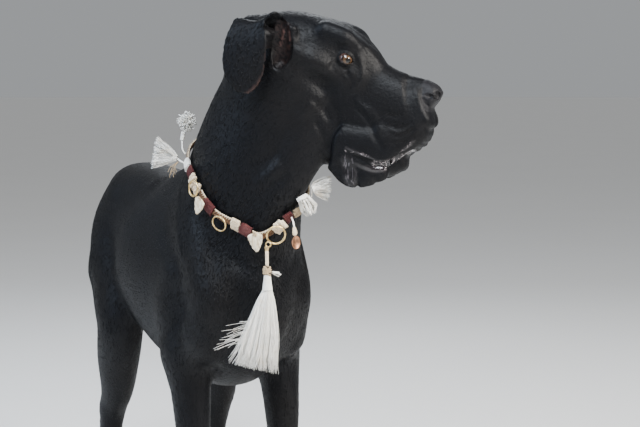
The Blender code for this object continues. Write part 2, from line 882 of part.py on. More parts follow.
def loose_parts(item):
    """The separate bodies of a mesh, each as points and faces, the largest first."""
    form = bmesh.new()
    form.from_mesh(item.data)
    form.verts.ensure_lookup_table()
    seen = set()
    parts = []
    for vertex in form.verts:
        if vertex.index in seen:
            continue
        island, stack = [], [vertex]
        seen.add(vertex.index)
        while stack:
            one = stack.pop()
            island.append(one)
            for edge in one.link_edges:
                other = edge.other_vert(one)
                if other.index not in seen:
                    seen.add(other.index)
                    stack.append(other)
        number = {v.index: k for k, v in enumerate(island)}
        faces = {face for v in island for face in v.link_faces}
        polygons = [tuple(number[v.index] for v in face.verts) for face in sorted(faces, key=lambda f: f.index)]
        parts.append((np.array([tuple(v.co) for v in island]), polygons))
    form.free()
    return sorted(parts, key=lambda part: -len(part[0]))


# Materials and naming


def finished(item, name, material):
    item.name = item.data.name = name
    item.data.materials.clear()
    found = bpy.data.materials.get(material)
    if found is None:
        found = bpy.data.materials.new(material)
        found.use_nodes = True
        colour, roughness, metallic = COLOURS[material]
        shader = found.node_tree.nodes["Principled BSDF"]
        shader.inputs["Base Color"].default_value = colour + (1,)
        shader.inputs["Roughness"].default_value = roughness
        shader.inputs["Metallic"].default_value = metallic
    item.data.materials.append(found)
    return item


# The body's solids


def build_body(shapes, head):
    whole = skin_object("whole", shapes, CELL, 0.0, FLESH_TRIANGLES)

    # Small flats under the paws, all at the floor
    cut(whole, slab((-0.2, 0, -0.024), (0, 0, 1), (1, 0, 0), 0.6, 0.3, thick=0.052))
    points, edges = arrays(whole)
    points[:, 2] = np.where(points[:, 2] < 0.0021, 0.0, points[:, 2])
    set_points(whole, points)

    # Ears stay clear of the body by a swollen copy of it
    swollen = bpy.data.objects.new("swollen", whole.data.copy())
    bpy.context.collection.objects.link(swollen)
    normals = np.empty(len(points) * 3)
    swollen.data.vertices.foreach_get("normal", normals)
    set_points(swollen, points + normals.reshape(-1, 3) * 0.0006)
    ears = skin_object("ears", [ear_shape()], 0.0042, 0.0052, 2 * EAR_TRIANGLES)
    cut(ears, swollen)
    pair = loose_parts(ears)[:2]
    bpy.data.objects.remove(ears)
    for ear_points, faces in pair:
        side = "left" if head.local(ear_points)[0][:, 1].mean() > 0 else "right"
        finished(mesh_object("ear", ear_points, faces), side + "_ear", "black_coat")

    # Eyes
    for side, flip in (("left", 1), ("right", -1)):
        place = head.world(np.array(EYE_PLACE) * [1, flip, 1])[0]
        cut(whole, ball(place, EYE_RADIUS + 0.0005))
        finished(ball(place, EYE_RADIUS), side + "_eye", "eye_amber")

    # Thin cuts part the rest
    forward, left, up = head.turn.T
    ahead, across = (1, 0, 0), (0, 1, 0)
    slabs = [
        (head.world((0.05, 0, -0.075))[0], 0.69 * forward + 0.725 * up, left, 0.14, 0.16),
        ((0.045, 0, 0.790), (0.50, 0, 0.866), across, 0.20, 0.26),
        ((-0.656, 0, 0.682), (-1, 0, 0), across, 0.055, 0.075),
    ]
    for y in (LEG_HALF_APART, -LEG_HALF_APART):
        slabs.append(((-0.012, y, 0.392), (0, 0, 1), ahead, 0.07, 0.07))
        slabs.append(((0.022, y * 1.02, 0.080), (0.25, 0, 1), ahead, 0.05, 0.05))
    for leg in HIND.values():
        top = leg["thigh"]
        slabs.append(((leg["knee"] - 0.025, 0.1 * np.sign(leg["side"]), top), (0, 0, 1), ahead, 0.13, 0.095))
        slabs.append(((leg["hock"], leg["side"], 0.245), (0.1, 0, 1), ahead, 0.06, 0.06))
        slabs.append(((leg["paw"] - 0.002, leg["side"], 0.082), (0.15, 0, 1), ahead, 0.05, 0.05))
    for one in slabs:
        cut(whole, slab(*one))
    cut(whole, cup(head.world((NOSE_BACK, 0, 0.010))[0], forward, left, 0.047, NOSE_HALF, 0.040))
    hinds = {}
    for side, leg in HIND.items():
        hinds[side + "_thigh"] = (leg["knee"], leg["side"], 0.40)
        hinds[side + "_hock"] = (leg["hock"], leg["side"], 0.17)
        hinds[side + "_hind_paw"] = (leg["paw"] + 0.04, leg["side"], 0.04)
    seeds = {
        "trunk": (-0.25, 0, BACK),
        "neck": (0.17, 0.02, 0.85),
        "tail": (-0.71, -0.02, 0.46),
        "head": tuple(head.world((0.09, 0, 0.06))[0]),
        "nose": tuple(head.world((0.31, 0, 0.0))[0]),
        "right_foreleg": (0.0, -LEG_HALF_APART, 0.25),
        "left_foreleg": (0.0, LEG_HALF_APART, 0.25),
        "right_fore_paw": (0.06, -LEG_HALF_APART, 0.04),
        "left_fore_paw": (0.06, LEG_HALF_APART, 0.04),
        **hinds,
    }
    parts = loose_parts(whole)
    bpy.data.objects.remove(whole)
    for name, seed in seeds.items():
        gap = [np.linalg.norm(part[0] - np.array(seed), axis=1).min() for part in parts]
        part = parts.pop(int(np.argmin(gap)))
        finished(mesh_object(name, *part), name, "nose_leather" if name == "nose" else "black_coat")


# The collar


class Loop:
    """The collar's line round the neck. Lengths run from the front ring up the dog's right side."""

    def __init__(self, shapes):
        right = [
            (0.1736, -0.0084, 0.7291),
            (0.1591, -0.0306, 0.7185),
            (0.1402, -0.0471, 0.7294),
            (0.0967, -0.0745, 0.7478),
            (0.0667, -0.0890, 0.7690),
            (0.0368, -0.0961, 0.7993),
            (0.0045, -0.0969, 0.8243),
            (-0.0522, -0.0787, 0.8611),
        ]
        left = [
            (-0.085, -0.030, 0.885),
            (-0.078, 0.020, 0.893),
            (-0.035, 0.070, 0.882),
            (0.030, 0.092, 0.862),
            (0.100, 0.085, 0.832),
            (0.155, 0.062, 0.800),
            (0.1835, 0.0237, 0.7602),
        ]
        path = smooth_rows(right + left, 12, closed=True)
        path, _ = settled(path, shapes, CLEAR + WRAP[1], rounds=8)
        self.path = np.vstack([path, path[:1]])
        steps = np.linalg.norm(np.diff(self.path, axis=0), axis=1)
        self.length = np.concatenate([[0], np.cumsum(steps)])
        self.whole = self.length[-1]
        self.shapes = shapes

    def at(self, along, lift=0.0):
        """Place, direction along, direction down the neck, and outward normal."""

        def place(s):
            s = s % self.whole
            return np.array([np.interp(s, self.length, self.path[:, k]) for k in range(3)])

        ahead = unit(place(along + 0.004) - place(along - 0.004))
        point, normal = settled([place(along)], self.shapes, CLEAR + lift, rounds=6)
        out = unit(normal[0] - (normal[0] @ ahead) * ahead)
        return point[0], ahead, np.cross(out, ahead), out

    def sleeve(self, start, end, size, count=10, shift=0.0, least=None):
        """A bar of oval section along the collar's line."""
        half_w, half_t = size
        stretches = max(2, int(round((end - start) / 0.018)))
        angle = np.arange(count) / count * 2 * math.pi
        rings = []
        for s in np.linspace(start, end, stretches + 1):
            place, _, down, out = self.at(s, half_t)
            u = np.sign(np.cos(angle)) * np.abs(np.cos(angle)) ** 0.7 * half_w
            v = np.sign(np.sin(angle)) * np.abs(np.sin(angle)) ** 0.8 * half_t
            rings.append(place + (u[:, None] + shift) * down + v[:, None] * out)
        return outward(mesh_object("sleeve", *lofted(rings)))


def hoop(place, face, radius, wire, count=16, round_count=5):
    """A ring of wire that faces one way."""
    face = unit(np.array(face, float))
    u = unit(np.cross(face, (0.1, 0.2, 1.0)))
    v = np.cross(face, u)
    rings = []
    for a in np.arange(count) / count * 2 * math.pi:
        spoke = math.cos(a) * u + math.sin(a) * v
        ring = []
        for b in np.arange(round_count) / round_count * 2 * math.pi:
            ring.append(np.array(place) + spoke * (radius + wire * math.cos(b)) + face * wire * math.sin(b))
        rings.append(np.array(ring))
    return outward(mesh_object("hoop", *lofted(rings, closed=True)))


def plate(place, face, top, outline, thick, bulge=0.75):
    """A flat piece of this outline, across and down from its place, with a rounded front."""
    face = unit(np.array(face, float))
    down = -unit(np.array(top, float) - (face @ np.array(top, float)) * face)
    side = np.cross(face, down)
    outline = np.array(outline, float)
    middle = outline.mean(0)
    rings = []
    for depth, scale in ((0.0, 0.92), (0.3, 1.0), (0.7, 1.0), (1.0, bulge)):
        flat = middle + (outline - middle) * scale
        rings.append(np.array(place) + flat[:, :1] * side + flat[:, 1:] * down + depth * thick * face)
    return outward(mesh_object("plate", *lofted(rings)))


def tassel(stations, across):
    """Yarn gathered at one end and spread at the other."""
    form = Form(stations, across=across, cap=0.5, steps=1)
    return outward(mesh_object("tassel", *lofted(form.rings(8)[1:-1])))


def build_collar(shapes):
    loop = Loop(shapes)
    cords = {
        "collar_cord_far": (-loop.whole + 0.2705, -0.0705),
        "collar_cord_rear": (0.1625, 0.1815),
        "collar_cord_side": (0.0925, 0.1315),
        "collar_cord_front": (0.0005, 0.0435),
    }
    for name, (start, end) in cords.items():
        finished(loop.sleeve(start, end, CORD, count=6), name, "brown_cord")
    wraps = {
        "collar_wrap_rear": (0.2235, 0.2455, WRAP, "burgundy_cord"),
        "collar_wrap_side": (0.1320, 0.1620, WRAP, "burgundy_cord"),
        "collar_wrap_front": (0.0440, 0.0690, WRAP, "burgundy_cord"),
        "collar_wrap_left": (-0.0450, -0.0275, WRAP, "burgundy_cord"),
        "collar_wrap_cream": (0.0695, 0.0920, WRAP, "cream_cloth"),
        "collar_roll_rear": (0.2015, 0.2230, ROLL, "cream_cloth"),
        "collar_roll_rear_low": (0.1820, 0.2010, ROLL, "cream_cloth"),
        "collar_roll_front": (-0.0270, 0.0000, ROLL, "cream_cloth"),
        "collar_tie_rear": (0.2460, 0.2700, (0.0095, 0.0055), "white_yarn"),
        "collar_tie_left": (-0.0700, -0.0455, (0.0095, 0.0060), "tan_cord"),
    }
    for name, (start, end, size, material) in wraps.items():
        finished(loop.sleeve(start, end, size), name, material)

    # Rings lie on the collar and lean in to the neck below it
    for name, along, low, radius, wire, lean in (
        ("collar_ring_rear", 0.1885, -0.003, 0.0140, 0.0017, 0.0),
        ("collar_ring_side", 0.1110, 0.0110, 0.0140, 0.0015, 0.30),
        ("collar_ring_front", -0.0010, 0.0040, 0.0162, 0.0018, 0.0),
    ):
        rise = 2 * (ROLL[1] if lean == 0.0 else CORD[1])
        place, _, down, out = loop.at(along, 0.0)
        face = math.cos(lean) * out + math.sin(lean) * down
        lift = rise + wire + 0.0006 - math.sin(lean) * (low - radius * 0.2) + 0.0012
        finished(hoop(place + down * low + out * lift, face, radius, wire), name, "brass")

    # Shells hang with their point down
    outline = [(-0.014, 0.0), (0.0, -0.003), (0.014, 0.0), (0.012, 0.010), (0.004, 0.024), (-0.003, 0.031)]
    outline += [(-0.007, 0.026), (-0.012, 0.012)]
    for name, along, low, lift, lean in (
        ("collar_shell_rear", 0.1635, -0.001, 0.0100, 0.10),
        ("collar_shell_front", 0.0330, -0.004, 0.0080, 0.10),
    ):
        place, ahead, down, out = loop.at(along, 0.0)
        face = math.cos(lean) * out + math.sin(lean) * down
        top = -down + 0.35 * ahead
        finished(plate(place + down * low + out * lift, face, top, outline, 0.007), name, "cream_shell")

    # Tassels
    tassels = {
        "tassel_rear_high": (
            [
                (-0.063, -0.0860, 0.8790, 0.003, 0.003, 0.003),
                (-0.064, -0.0830, 0.8900, 0.003, 0.003, 0.003),
                (-0.065, -0.0790, 0.9000, 0.014, 0.012, 0.012),
                (-0.065, -0.0760, 0.9150, 0.018, 0.015, 0.015),
                (-0.065, -0.0740, 0.9260, 0.010, 0.009, 0.009),
            ],
            (0.35, 0.93, 0),
            "white_yarn",
        ),
        "tassel_rear_low": (
            [
                (-0.038, -0.1055, 0.8470, 0.004, 0.004, 0.004),
                (-0.046, -0.1150, 0.8500, 0.012, 0.008, 0.008),
                (-0.056, -0.1290, 0.8540, 0.023, 0.008, 0.008),
                (-0.066, -0.1420, 0.8570, 0.027, 0.007, 0.007),
            ],
            (0, 0, 1),
            "white_yarn",
        ),
        "tassel_left_low": (
            [
                (0.2060, 0.0300, 0.7910, 0.008, 0.006, 0.006),
                (0.2085, 0.0352, 0.7820, 0.012, 0.008, 0.008),
                (0.2085, 0.0420, 0.7700, 0.014, 0.009, 0.009),
                (0.2085, 0.0480, 0.7590, 0.009, 0.007, 0.007),
            ],
            (0.45, 0.89, 0),
            "white_yarn",
        ),
        "tassel_left_high": (
            [
                (0.1985, 0.0545, 0.8020, 0.004, 0.004, 0.004),
                (0.1995, 0.0620, 0.8035, 0.012, 0.007, 0.007),
                (0.1990, 0.0770, 0.8040, 0.018, 0.009, 0.009),
                (0.2000, 0.0900, 0.8020, 0.019, 0.008, 0.008),
            ],
            (0, 0.2, 1),
            "white_yarn",
        ),
        "pendant_tassel": (
            [
                (0.1850, -0.0245, 0.6440, 0.006, 0.006, 0.006),
                (0.1850, -0.0247, 0.6260, 0.008, 0.007, 0.007),
                (0.1845, -0.0290, 0.6000, 0.017, 0.011, 0.011),
                (0.1840, -0.0400, 0.5400, 0.030, 0.016, 0.016),
                (0.1830, -0.0510, 0.4900, 0.040, 0.018, 0.018),
            ],
            (0.45, 0.89, 0),
            "white_yarn",
        ),
        "pendant_knot": (
            [
                (0.1850, -0.0250, 0.6680, 0.0065, 0.006, 0.006),
                (0.1850, -0.0250, 0.6590, 0.0090, 0.008, 0.008),
                (0.1850, -0.0247, 0.6535, 0.0070, 0.006, 0.006),
            ],
            (0.45, 0.89, 0),
            "tan_cord",
        ),
        "pendant_tuft": (
            [
                (0.1880, -0.0130, 0.6585, 0.0030, 0.003, 0.003),
                (0.1890, -0.0075, 0.6570, 0.0060, 0.004, 0.004),
                (0.1895, -0.0020, 0.6550, 0.0065, 0.004, 0.004),
            ],
            (0, 0.2, 1),
            "white_yarn",
        ),
        "pendant_strap": (
            [
                (0.1850, -0.0255, 0.6950, 0.0028, 0.0018, 0.0018),
                (0.1850, -0.0252, 0.6740, 0.0030, 0.0018, 0.0018),
            ],
            (0.45, 0.89, 0),
            "cream_cloth",
        ),
        "pendant_hook": (
            [
                (0.1880, -0.0220, 0.7080, 0.0022, 0.0022, 0.0022),
                (0.1860, -0.0250, 0.7050, 0.0042, 0.0028, 0.0028),
                (0.1850, -0.0256, 0.6985, 0.0030, 0.0024, 0.0024),
            ],
            (0.45, 0.89, 0),
            "brass",
        ),
        "tag_stem": (
            [
                (0.2000, 0.0200, 0.7370, 0.0030, 0.0020, 0.0020),
                (0.2000, 0.0215, 0.7260, 0.0055, 0.0020, 0.0020),
            ],
            (-0.2, 0.98, 0),
            "cream_cloth",
        ),
    }
    for name, (stations, across, material) in tassels.items():
        finished(tassel(stations, across), name, material)
    oval = [(0.0090 * math.cos(a), 0.0115 * math.sin(a)) for a in np.arange(12) / 12 * 2 * math.pi]
    tag = plate((0.1990, 0.0235, 0.7100), (0.98, 0.2, 0), (0, 0, 1), oval, 0.0020, 0.95)
    finished(tag, "collar_tag", "copper")


def main():
    for item in list(bpy.data.objects):
        bpy.data.objects.remove(item)
    head = head_shape()
    shapes = [body_shape(), head]
    build_body(shapes, head)
    build_collar(shapes)
    for item in bpy.data.objects:
        points, _ = arrays(item)
        set_points(item, points + np.array(PLACE))


main()
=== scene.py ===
import math

import bmesh
import bpy
import numpy as np
from mathutils import Matrix, Vector
from mathutils.bvhtree import BVHTree


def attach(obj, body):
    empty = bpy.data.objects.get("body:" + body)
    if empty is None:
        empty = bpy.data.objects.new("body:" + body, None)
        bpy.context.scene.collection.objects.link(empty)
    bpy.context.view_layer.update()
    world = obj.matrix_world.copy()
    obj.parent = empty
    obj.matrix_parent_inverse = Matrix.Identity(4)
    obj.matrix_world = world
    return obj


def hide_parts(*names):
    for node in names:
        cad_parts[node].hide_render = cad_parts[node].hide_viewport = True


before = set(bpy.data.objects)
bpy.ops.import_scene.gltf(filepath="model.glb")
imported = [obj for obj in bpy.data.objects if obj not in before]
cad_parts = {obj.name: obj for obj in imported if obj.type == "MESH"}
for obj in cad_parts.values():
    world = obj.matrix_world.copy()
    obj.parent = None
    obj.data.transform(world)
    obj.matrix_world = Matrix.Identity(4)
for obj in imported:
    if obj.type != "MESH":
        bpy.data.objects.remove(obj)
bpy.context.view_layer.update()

# A black great dane in a knotted cord collar. Metres, X forward, Y to the dog's left, Z up.
rng = np.random.default_rng(11)

# Sizes of the dog, as in its solids
BACK = 0.790
BRISKET = 0.402
RIB_HALF = 0.133
BREAST = 0.115
BUTTOCK = -0.630
LEG_HALF_APART = 0.092
KNEE_HEIGHT = 0.475
HOCK_HEIGHT = 0.215
HEAD_PLACE = (0.132, 0.020, 1.065)
HEAD_TURN = (46.0, -19.0, 2.0)
EYE_PLACE = (0.1434, 0.0431, 0.0103)
EYE_RADIUS = 0.0125
EYE_AXIS = (0.46, 0.87, 0.16)
GAZE = (0.60, 0.80, 0.04)
HIND = {
    "right": {"knee": -0.415, "hock": -0.550, "paw": -0.545, "side": -0.080},
    "left": {"knee": -0.355, "hock": -0.445, "paw": -0.425, "side": 0.125},
}
MOUTH_UPPER = [
    (0.3100, 0.014, -0.052),
    (0.3020, 0.032, -0.0720),
    (0.2915, 0.041, -0.0970),
    (0.2760, 0.045, -0.1210),
    (0.2560, 0.049, -0.1320),
    (0.2320, 0.050, -0.1320),
    (0.1940, 0.051, -0.1310),
]
FLAP_EDGE = [
    (0.0140, 0.0860, 0.0200),
    (0.0200, 0.0915, -0.0080),
    (0.0255, 0.0935, -0.0370),
    (0.0250, 0.0935, -0.0640),
    (0.0160, 0.0925, -0.0870),
    (0.0020, 0.0920, -0.1020),
    (-0.0140, 0.0925, -0.1030),
]
GRISTLE = (
    [(0.0290, 0.0690, 0.0270), (0.0320, 0.0665, 0.0150), (0.0310, 0.0650, 0.0020), (0.0340, 0.0640, -0.0080)],
    [(0.0420, 0.0680, 0.0240), (0.0470, 0.0670, 0.0130), (0.0450, 0.0660, 0.0000), (0.0480, 0.0650, -0.0120)],
)
LOWER_BEADS = [
    (0.3000, 0.024, -0.1040),
    (0.2920, 0.031, -0.1170),
    (0.2790, 0.036, -0.1290),
    (0.2660, 0.040, -0.1370),
    (0.2520, 0.043, -0.1420),
]
LOBE = [(0.2030, 0.047, -0.1530), (0.2120, 0.047, -0.1700), (0.2180, 0.044, -0.1850)]
COAT = 0.0016
SKIN_CELL = 0.0082

# Sizes of the collar, half widths and half thicknesses
CORD = (0.0062, 0.0030)
WRAP = (0.0110, 0.0045)
ROLL = (0.0125, 0.0065)
CLEAR = 0.0012

# From the middle of the forefeet to the middle of the box
PLACE = (0.2250, -0.0487, 0.0)

FAR = 0.25
PROBES = np.array([[1, -1, -1], [-1, -1, 1], [-1, 1, -1], [1, 1, 1]], float)


# Curves and frames


def smooth_rows(rows, steps, closed=False):
    """Rows of numbers joined by a smooth curve through each of them."""
    rows = np.array(rows, float)
    if len(rows) == 2 and not closed:
        share = np.linspace(0, 1, steps + 1)[:, None]
        return rows[0] * (1 - share) + rows[1] * share
    if closed:
        ends = np.vstack([rows[-1], rows, rows[0], rows[1]])
    else:
        ends = np.vstack([2 * rows[0] - rows[1], rows, 2 * rows[-1] - rows[-2]])
    out = []
    for i in range(1, len(ends) - 2):
        a, b, c, d = ends[i - 1 : i + 3]
        for t in np.arange(steps) / steps:
            bend = (2 * a - 5 * b + 4 * c - d) * t * t + (3 * b - a - 3 * c + d) * t**3
            out.append(0.5 * (2 * b + (c - a) * t + bend))
    if not closed:
        out.append(rows[-1])
    return np.array(out)


def unit(vectors):
    return vectors / np.maximum(np.linalg.norm(vectors, axis=-1, keepdims=True), 1e-9)


def nearest(points, path):
    """Number of the path's nearest stretch, the share along it, and the distance."""
    start, step = path[:-1], path[1:] - path[:-1]
    length = np.maximum((step**2).sum(1), 1e-12)
    share = np.clip((points @ step.T - (start * step).sum(1)) / length, 0, 1)
    best = np.full(len(points), 1e9, points.dtype)
    index = np.zeros(len(points), int)
    for i in range(len(start)):
        away = ((points - start[i] - share[:, i, None] * step[i]) ** 2).sum(1)
        closer = away < best
        best[closer] = away[closer]
        index[closer] = i
    return index, share[np.arange(len(points)), index], np.sqrt(best)


def turned(heading, pitch, roll):
    """Columns are the forward, left and up directions of something turned by these degrees."""
    h, p, r = math.radians(heading), math.radians(pitch), math.radians(roll)
    forward = np.array([math.cos(p) * math.cos(h), math.cos(p) * math.sin(h), math.sin(p)])
    level = np.array([-math.sin(h), math.cos(h), 0])
    left = math.cos(r) * level + math.sin(r) * np.cross(forward, level)
    return np.stack([forward, left, np.cross(forward, left)], 1)


# The forms that the body is made of


class Form:
    """A soft form along a path. A station is x, y, z, half width, half height above and below."""

    def __init__(self, stations, across=(0, 1, 0), square=2.0, blend=0.03, cap=1.0, egg=0.0, steps=5, flow=1):
        rows = smooth_rows(stations, steps)
        self.path = rows[:, :3]
        self.half = rows[:, 3:6]
        self.along = unit(np.gradient(self.path, axis=0))
        across = np.array(across, float)
        self.side = unit(across - (self.along @ across)[:, None] * self.along)
        self.up = np.cross(self.along, self.side)
        self.square, self.blend, self.cap, self.egg = square, blend, cap, egg
        self.flow = flow
        reach = self.half.max() + blend + 0.012
        self.low = self.path.min(0) - reach
        self.high = self.path.max(0) + reach
        self.marks = self.path[:: max(1, steps // 2)]
        spread = np.linalg.norm(np.diff(self.marks, axis=0), axis=1).max(initial=0.01)
        self.reach = (reach**2 + (spread / 2) ** 2) ** 0.5
        for name in ("path", "half", "along", "side", "up", "low", "high", "marks"):
            setattr(self, name, getattr(self, name).astype(np.float32))

    def distance(self, points):
        out = np.full(len(points), FAR, np.float32)
        near = np.where(((points > self.low) & (points < self.high)).all(1))[0]
        away = np.full(len(near), 1e9, np.float32)
        for mark in self.marks:
            away = np.minimum(away, ((points[near] - mark) ** 2).sum(1))
        near = near[away < self.reach**2]
        p = points[near]
        if not len(p):
            return out
        i, t, _ = nearest(p, self.path)
        t = t[:, None]

        def at(values):
            return values[i] * (1 - t) + values[i + 1] * t

        off = p - at(self.path)
        half = at(self.half)
        u = (off * at(self.side)).sum(1)
        v = (off * at(self.up)).sum(1)
        w = (off * at(self.along)).sum(1)
        b = np.where(v > 0, half[:, 1], half[:, 2])
        a = half[:, 0] * (1 + self.egg * np.clip(v / b, -1.2, 1.2))
        c = np.minimum(half[:, 0], half[:, 1:].mean(1)) * self.cap
        last = len(self.path) - 2
        beyond = ((i == 0) & (t[:, 0] <= 0)) | ((i == last) & (t[:, 0] >= 1))
        w = np.where(beyond, w, 0)
        n = self.square
        terms = np.abs(np.stack([u / a, v / b, w / c], 1)) + 1e-9
        k = (terms**n).sum(1) ** (1 / n)
        slope = k ** (1 - n) * np.sqrt(((terms ** (n - 1) / np.stack([a, b, c], 1)) ** 2).sum(1))
        out[near] = (k - 1) / np.maximum(slope, 1 / 0.3)
        return out

    def rings(self, count, least=0.0, square=None):
        """Rings of points from one end's cap to the other's."""
        angle = np.arange(count) / count * 2 * math.pi
        rings = [self.ring(0, angle, least, square, math.cos(q), -math.sin(q)) for q in (1.2, 0.8, 0.4)]
        rings += [self.ring(j, angle, least, square, 1.0, 0.0) for j in range(len(self.path))]
        return rings + [self.ring(-1, angle, least, square, math.cos(q), math.sin(q)) for q in (0.4, 0.8, 1.2)]

    def ring(self, j, angle, least, square, shrink, push):
        half = np.maximum(self.half[j], least)
        square = square or self.square
        v = np.sign(np.sin(angle)) * np.abs(np.sin(angle)) ** (2 / square)
        u = np.sign(np.cos(angle)) * np.abs(np.cos(angle)) ** (2 / square)
        u = u * half[0] * (1 + self.egg * v) * shrink
        v = v * np.where(v > 0, half[1], half[2]) * shrink
        tip = min(half[0], half[1:].mean()) * self.cap * push
        return self.path[j] + u[:, None] * self.side[j] + v[:, None] * self.up[j] + self.along[j] * tip


class Crease:
    """A groove along a path, or a ridge where its depth is under 0."""

    def __init__(self, path, depth, width, steps=5):
        self.path = smooth_rows(path, steps).astype(np.float32)
        self.depth, self.width = depth, width
        self.low = self.path.min(0) - 3 * width
        self.high = self.path.max(0) + 3 * width

    def sink(self, points):
        out = np.zeros(len(points))
        near = ((points > self.low) & (points < self.high)).all(1)
        p = points[near]
        if not len(p):
            return out
        i, t, away = nearest(p, self.path)
        share = (i + t) / (len(self.path) - 1)
        fade = np.clip(4 * share, 0, 1) * np.clip(4 * (1 - share), 0, 1)
        out[near] = self.depth * np.exp(-((away / self.width) ** 2)) * fade * (2 - fade)
        return out


class Shape:
    """Forms and creases in one frame. One that is made both ways is also across y = 0."""

    def __init__(self, turn=(0, 0, 0), place=(0, 0, 0)):
        self.turn = turned(*turn).astype(np.float32)
        self.place = np.array(place, np.float32)
        self.forms = []
        self.creases = []
        self.openings = []
        self.lids = []

    def form(self, stations, both=False, **settings):
        self.forms.append((Form(stations, **settings), both))

    def crease(self, path, depth, width, both=True):
        self.creases.append((Crease(path, depth, width), both))

    def world(self, points):
        return np.atleast_2d(points) @ self.turn.T + self.place

    def local(self, points):
        points = (points - self.place) @ self.turn
        return points, np.column_stack([points[:, 0], np.abs(points[:, 1]), points[:, 2]])


def blended(a, b, reach):
    """The lesser of two distances, rounded where they cross."""
    share = np.maximum(reach - np.abs(a - b), 0) / reach
    return np.minimum(a, b) - share**3 * reach / 6


def distance(points, shapes):
    """Roughly the distance from the skin, under 0 inside it."""
    points = np.asarray(points, np.float32)
    total = np.full(len(points), FAR, np.float32)
    for shape in shapes:
        plain, folded = shape.local(points)
        for form, both in shape.forms:
            total = blended(total, form.distance(folded if both else plain), form.blend)
    for shape in shapes:
        plain, folded = shape.local(points)
        for opening in shape.openings:
            total = opening.cut(total, folded)
        for crease, both in shape.creases:
            total = total + crease.sink(folded if both else plain)
        for ball, almond in shape.lids:
            total = almond.cut(blended(total, ball.distance(folded), ball.blend), folded)
    return total


def settled(points, shapes, lift=0.0, rounds=5, reach=0.004, probe=0.0007):
    """Points moved along the slope until they are this far above the skin, and the skin's normals there."""
    points = np.array(points, float)
    for _ in range(rounds):
        values = [distance(points + k * probe, shapes) for k in PROBES]
        slope = sum(k[None] * v[:, None] for k, v in zip(PROBES, values)) / (4 * probe)
        miss = sum(values) / 4 - lift
        step = np.clip(-miss / np.maximum((slope**2).sum(1), 0.15), -reach, reach)
        points += step[:, None] * slope
    return points, unit(slope)


# The dog, part by part


def add_trunk(body):
    # Rib cage and belly
    body.form(
        [
            (BREAST, 0, 0.60, 0.050, 0.085, 0.085),
            (0.08, 0, 0.60, 0.078, 0.140, 0.145),
            (0.02, 0, 0.60, 0.096, 0.175, 0.185),
            (-0.06, 0, 0.60, 0.112, 0.195, 0.60 - BRISKET),
            (-0.15, 0, 0.60, 0.126, BACK - 0.598, 0.192),
            (-0.25, 0, 0.61, RIB_HALF, BACK - 0.614, 0.180),
            (-0.34, 0, 0.63, 0.127, BACK - 0.634, 0.158),
            (-0.42, 0, 0.66, 0.106, 0.128, 0.138),
            (-0.50, 0, 0.68, 0.088, 0.110, 0.115),
            (-0.57, 0, 0.69, 0.070, 0.080, 0.080),
        ],
        square=2.15,
        blend=0.02,
        cap=0.6,
    )
    # Loin and rump
    body.form(
        [
            (-0.33, 0, 0.735, 0.070, 0.055, 0.060),
            (-0.45, 0, 0.735, 0.080, 0.062, 0.070),
            (-0.53, 0, 0.728, 0.080, 0.064, 0.080),
            (-0.595, 0, 0.702, 0.062, 0.055, 0.070),
            (BUTTOCK, 0, 0.675, 0.038, 0.040, 0.050),
        ],
        square=2.3,
        blend=0.05,
        cap=0.7,
    )
    # Withers
    body.form(
        [
            (0.0, 0, 0.755, 0.050, 0.060, 0.080),
            (-0.06, 0, 0.766, 0.046, 0.056, 0.090),
            (-0.14, 0, 0.760, 0.048, 0.048, 0.080),
            (-0.24, 0, 0.745, 0.050, 0.046, 0.070),
        ],
        blend=0.06,
    )
    # Breast bone
    body.form(
        [
            (0.085, 0, 0.66, 0.045, 0.050, 0.050),
            (0.108, 0, 0.62, 0.045, 0.045, 0.050),
            (0.095, 0, 0.555, 0.045, 0.045, 0.050),
        ],
        blend=0.05,
    )
    # Breast muscle, shoulder blade, upper arm and the muscle behind it
    body.form(
        [
            (0.090, 0.038, 0.640, 0.040, 0.032, 0.032),
            (0.078, 0.050, 0.575, 0.044, 0.036, 0.034),
            (0.045, 0.064, 0.510, 0.042, 0.040, 0.030),
        ],
        both=True,
        blend=0.04,
        cap=0.9,
    )
    body.form(
        [
            (-0.075, 0.058, 0.765, 0.020, 0.040, 0.045),
            (-0.015, 0.080, 0.700, 0.026, 0.056, 0.056),
            (0.040, 0.082, 0.625, 0.032, 0.056, 0.054),
            (0.064, 0.074, 0.585, 0.030, 0.048, 0.048),
        ],
        both=True,
        blend=0.045,
        cap=0.9,
    )
    body.form(
        [
            (0.062, 0.070, 0.605, 0.032, 0.048, 0.048),
            (0.026, 0.083, 0.535, 0.035, 0.048, 0.050),
            (-0.030, 0.090, 0.465, 0.034, 0.044, 0.045),
        ],
        both=True,
        blend=0.04,
        cap=0.9,
    )
    body.form(
        [
            (-0.060, 0.096, 0.630, 0.026, 0.050, 0.050),
            (-0.075, 0.102, 0.550, 0.030, 0.050, 0.055),
            (-0.060, 0.098, 0.475, 0.026, 0.036, 0.034),
        ],
        both=True,
        blend=0.045,
        cap=0.9,
    )
    # Upper thigh
    body.form(
        [
            (-0.480, 0.055, 0.735, 0.040, 0.055, 0.050),
            (-0.520, 0.068, 0.655, 0.049, 0.085, 0.092),
            (-0.515, 0.077, 0.575, 0.047, 0.088, 0.098),
        ],
        both=True,
        blend=0.05,
        cap=0.8,
    )


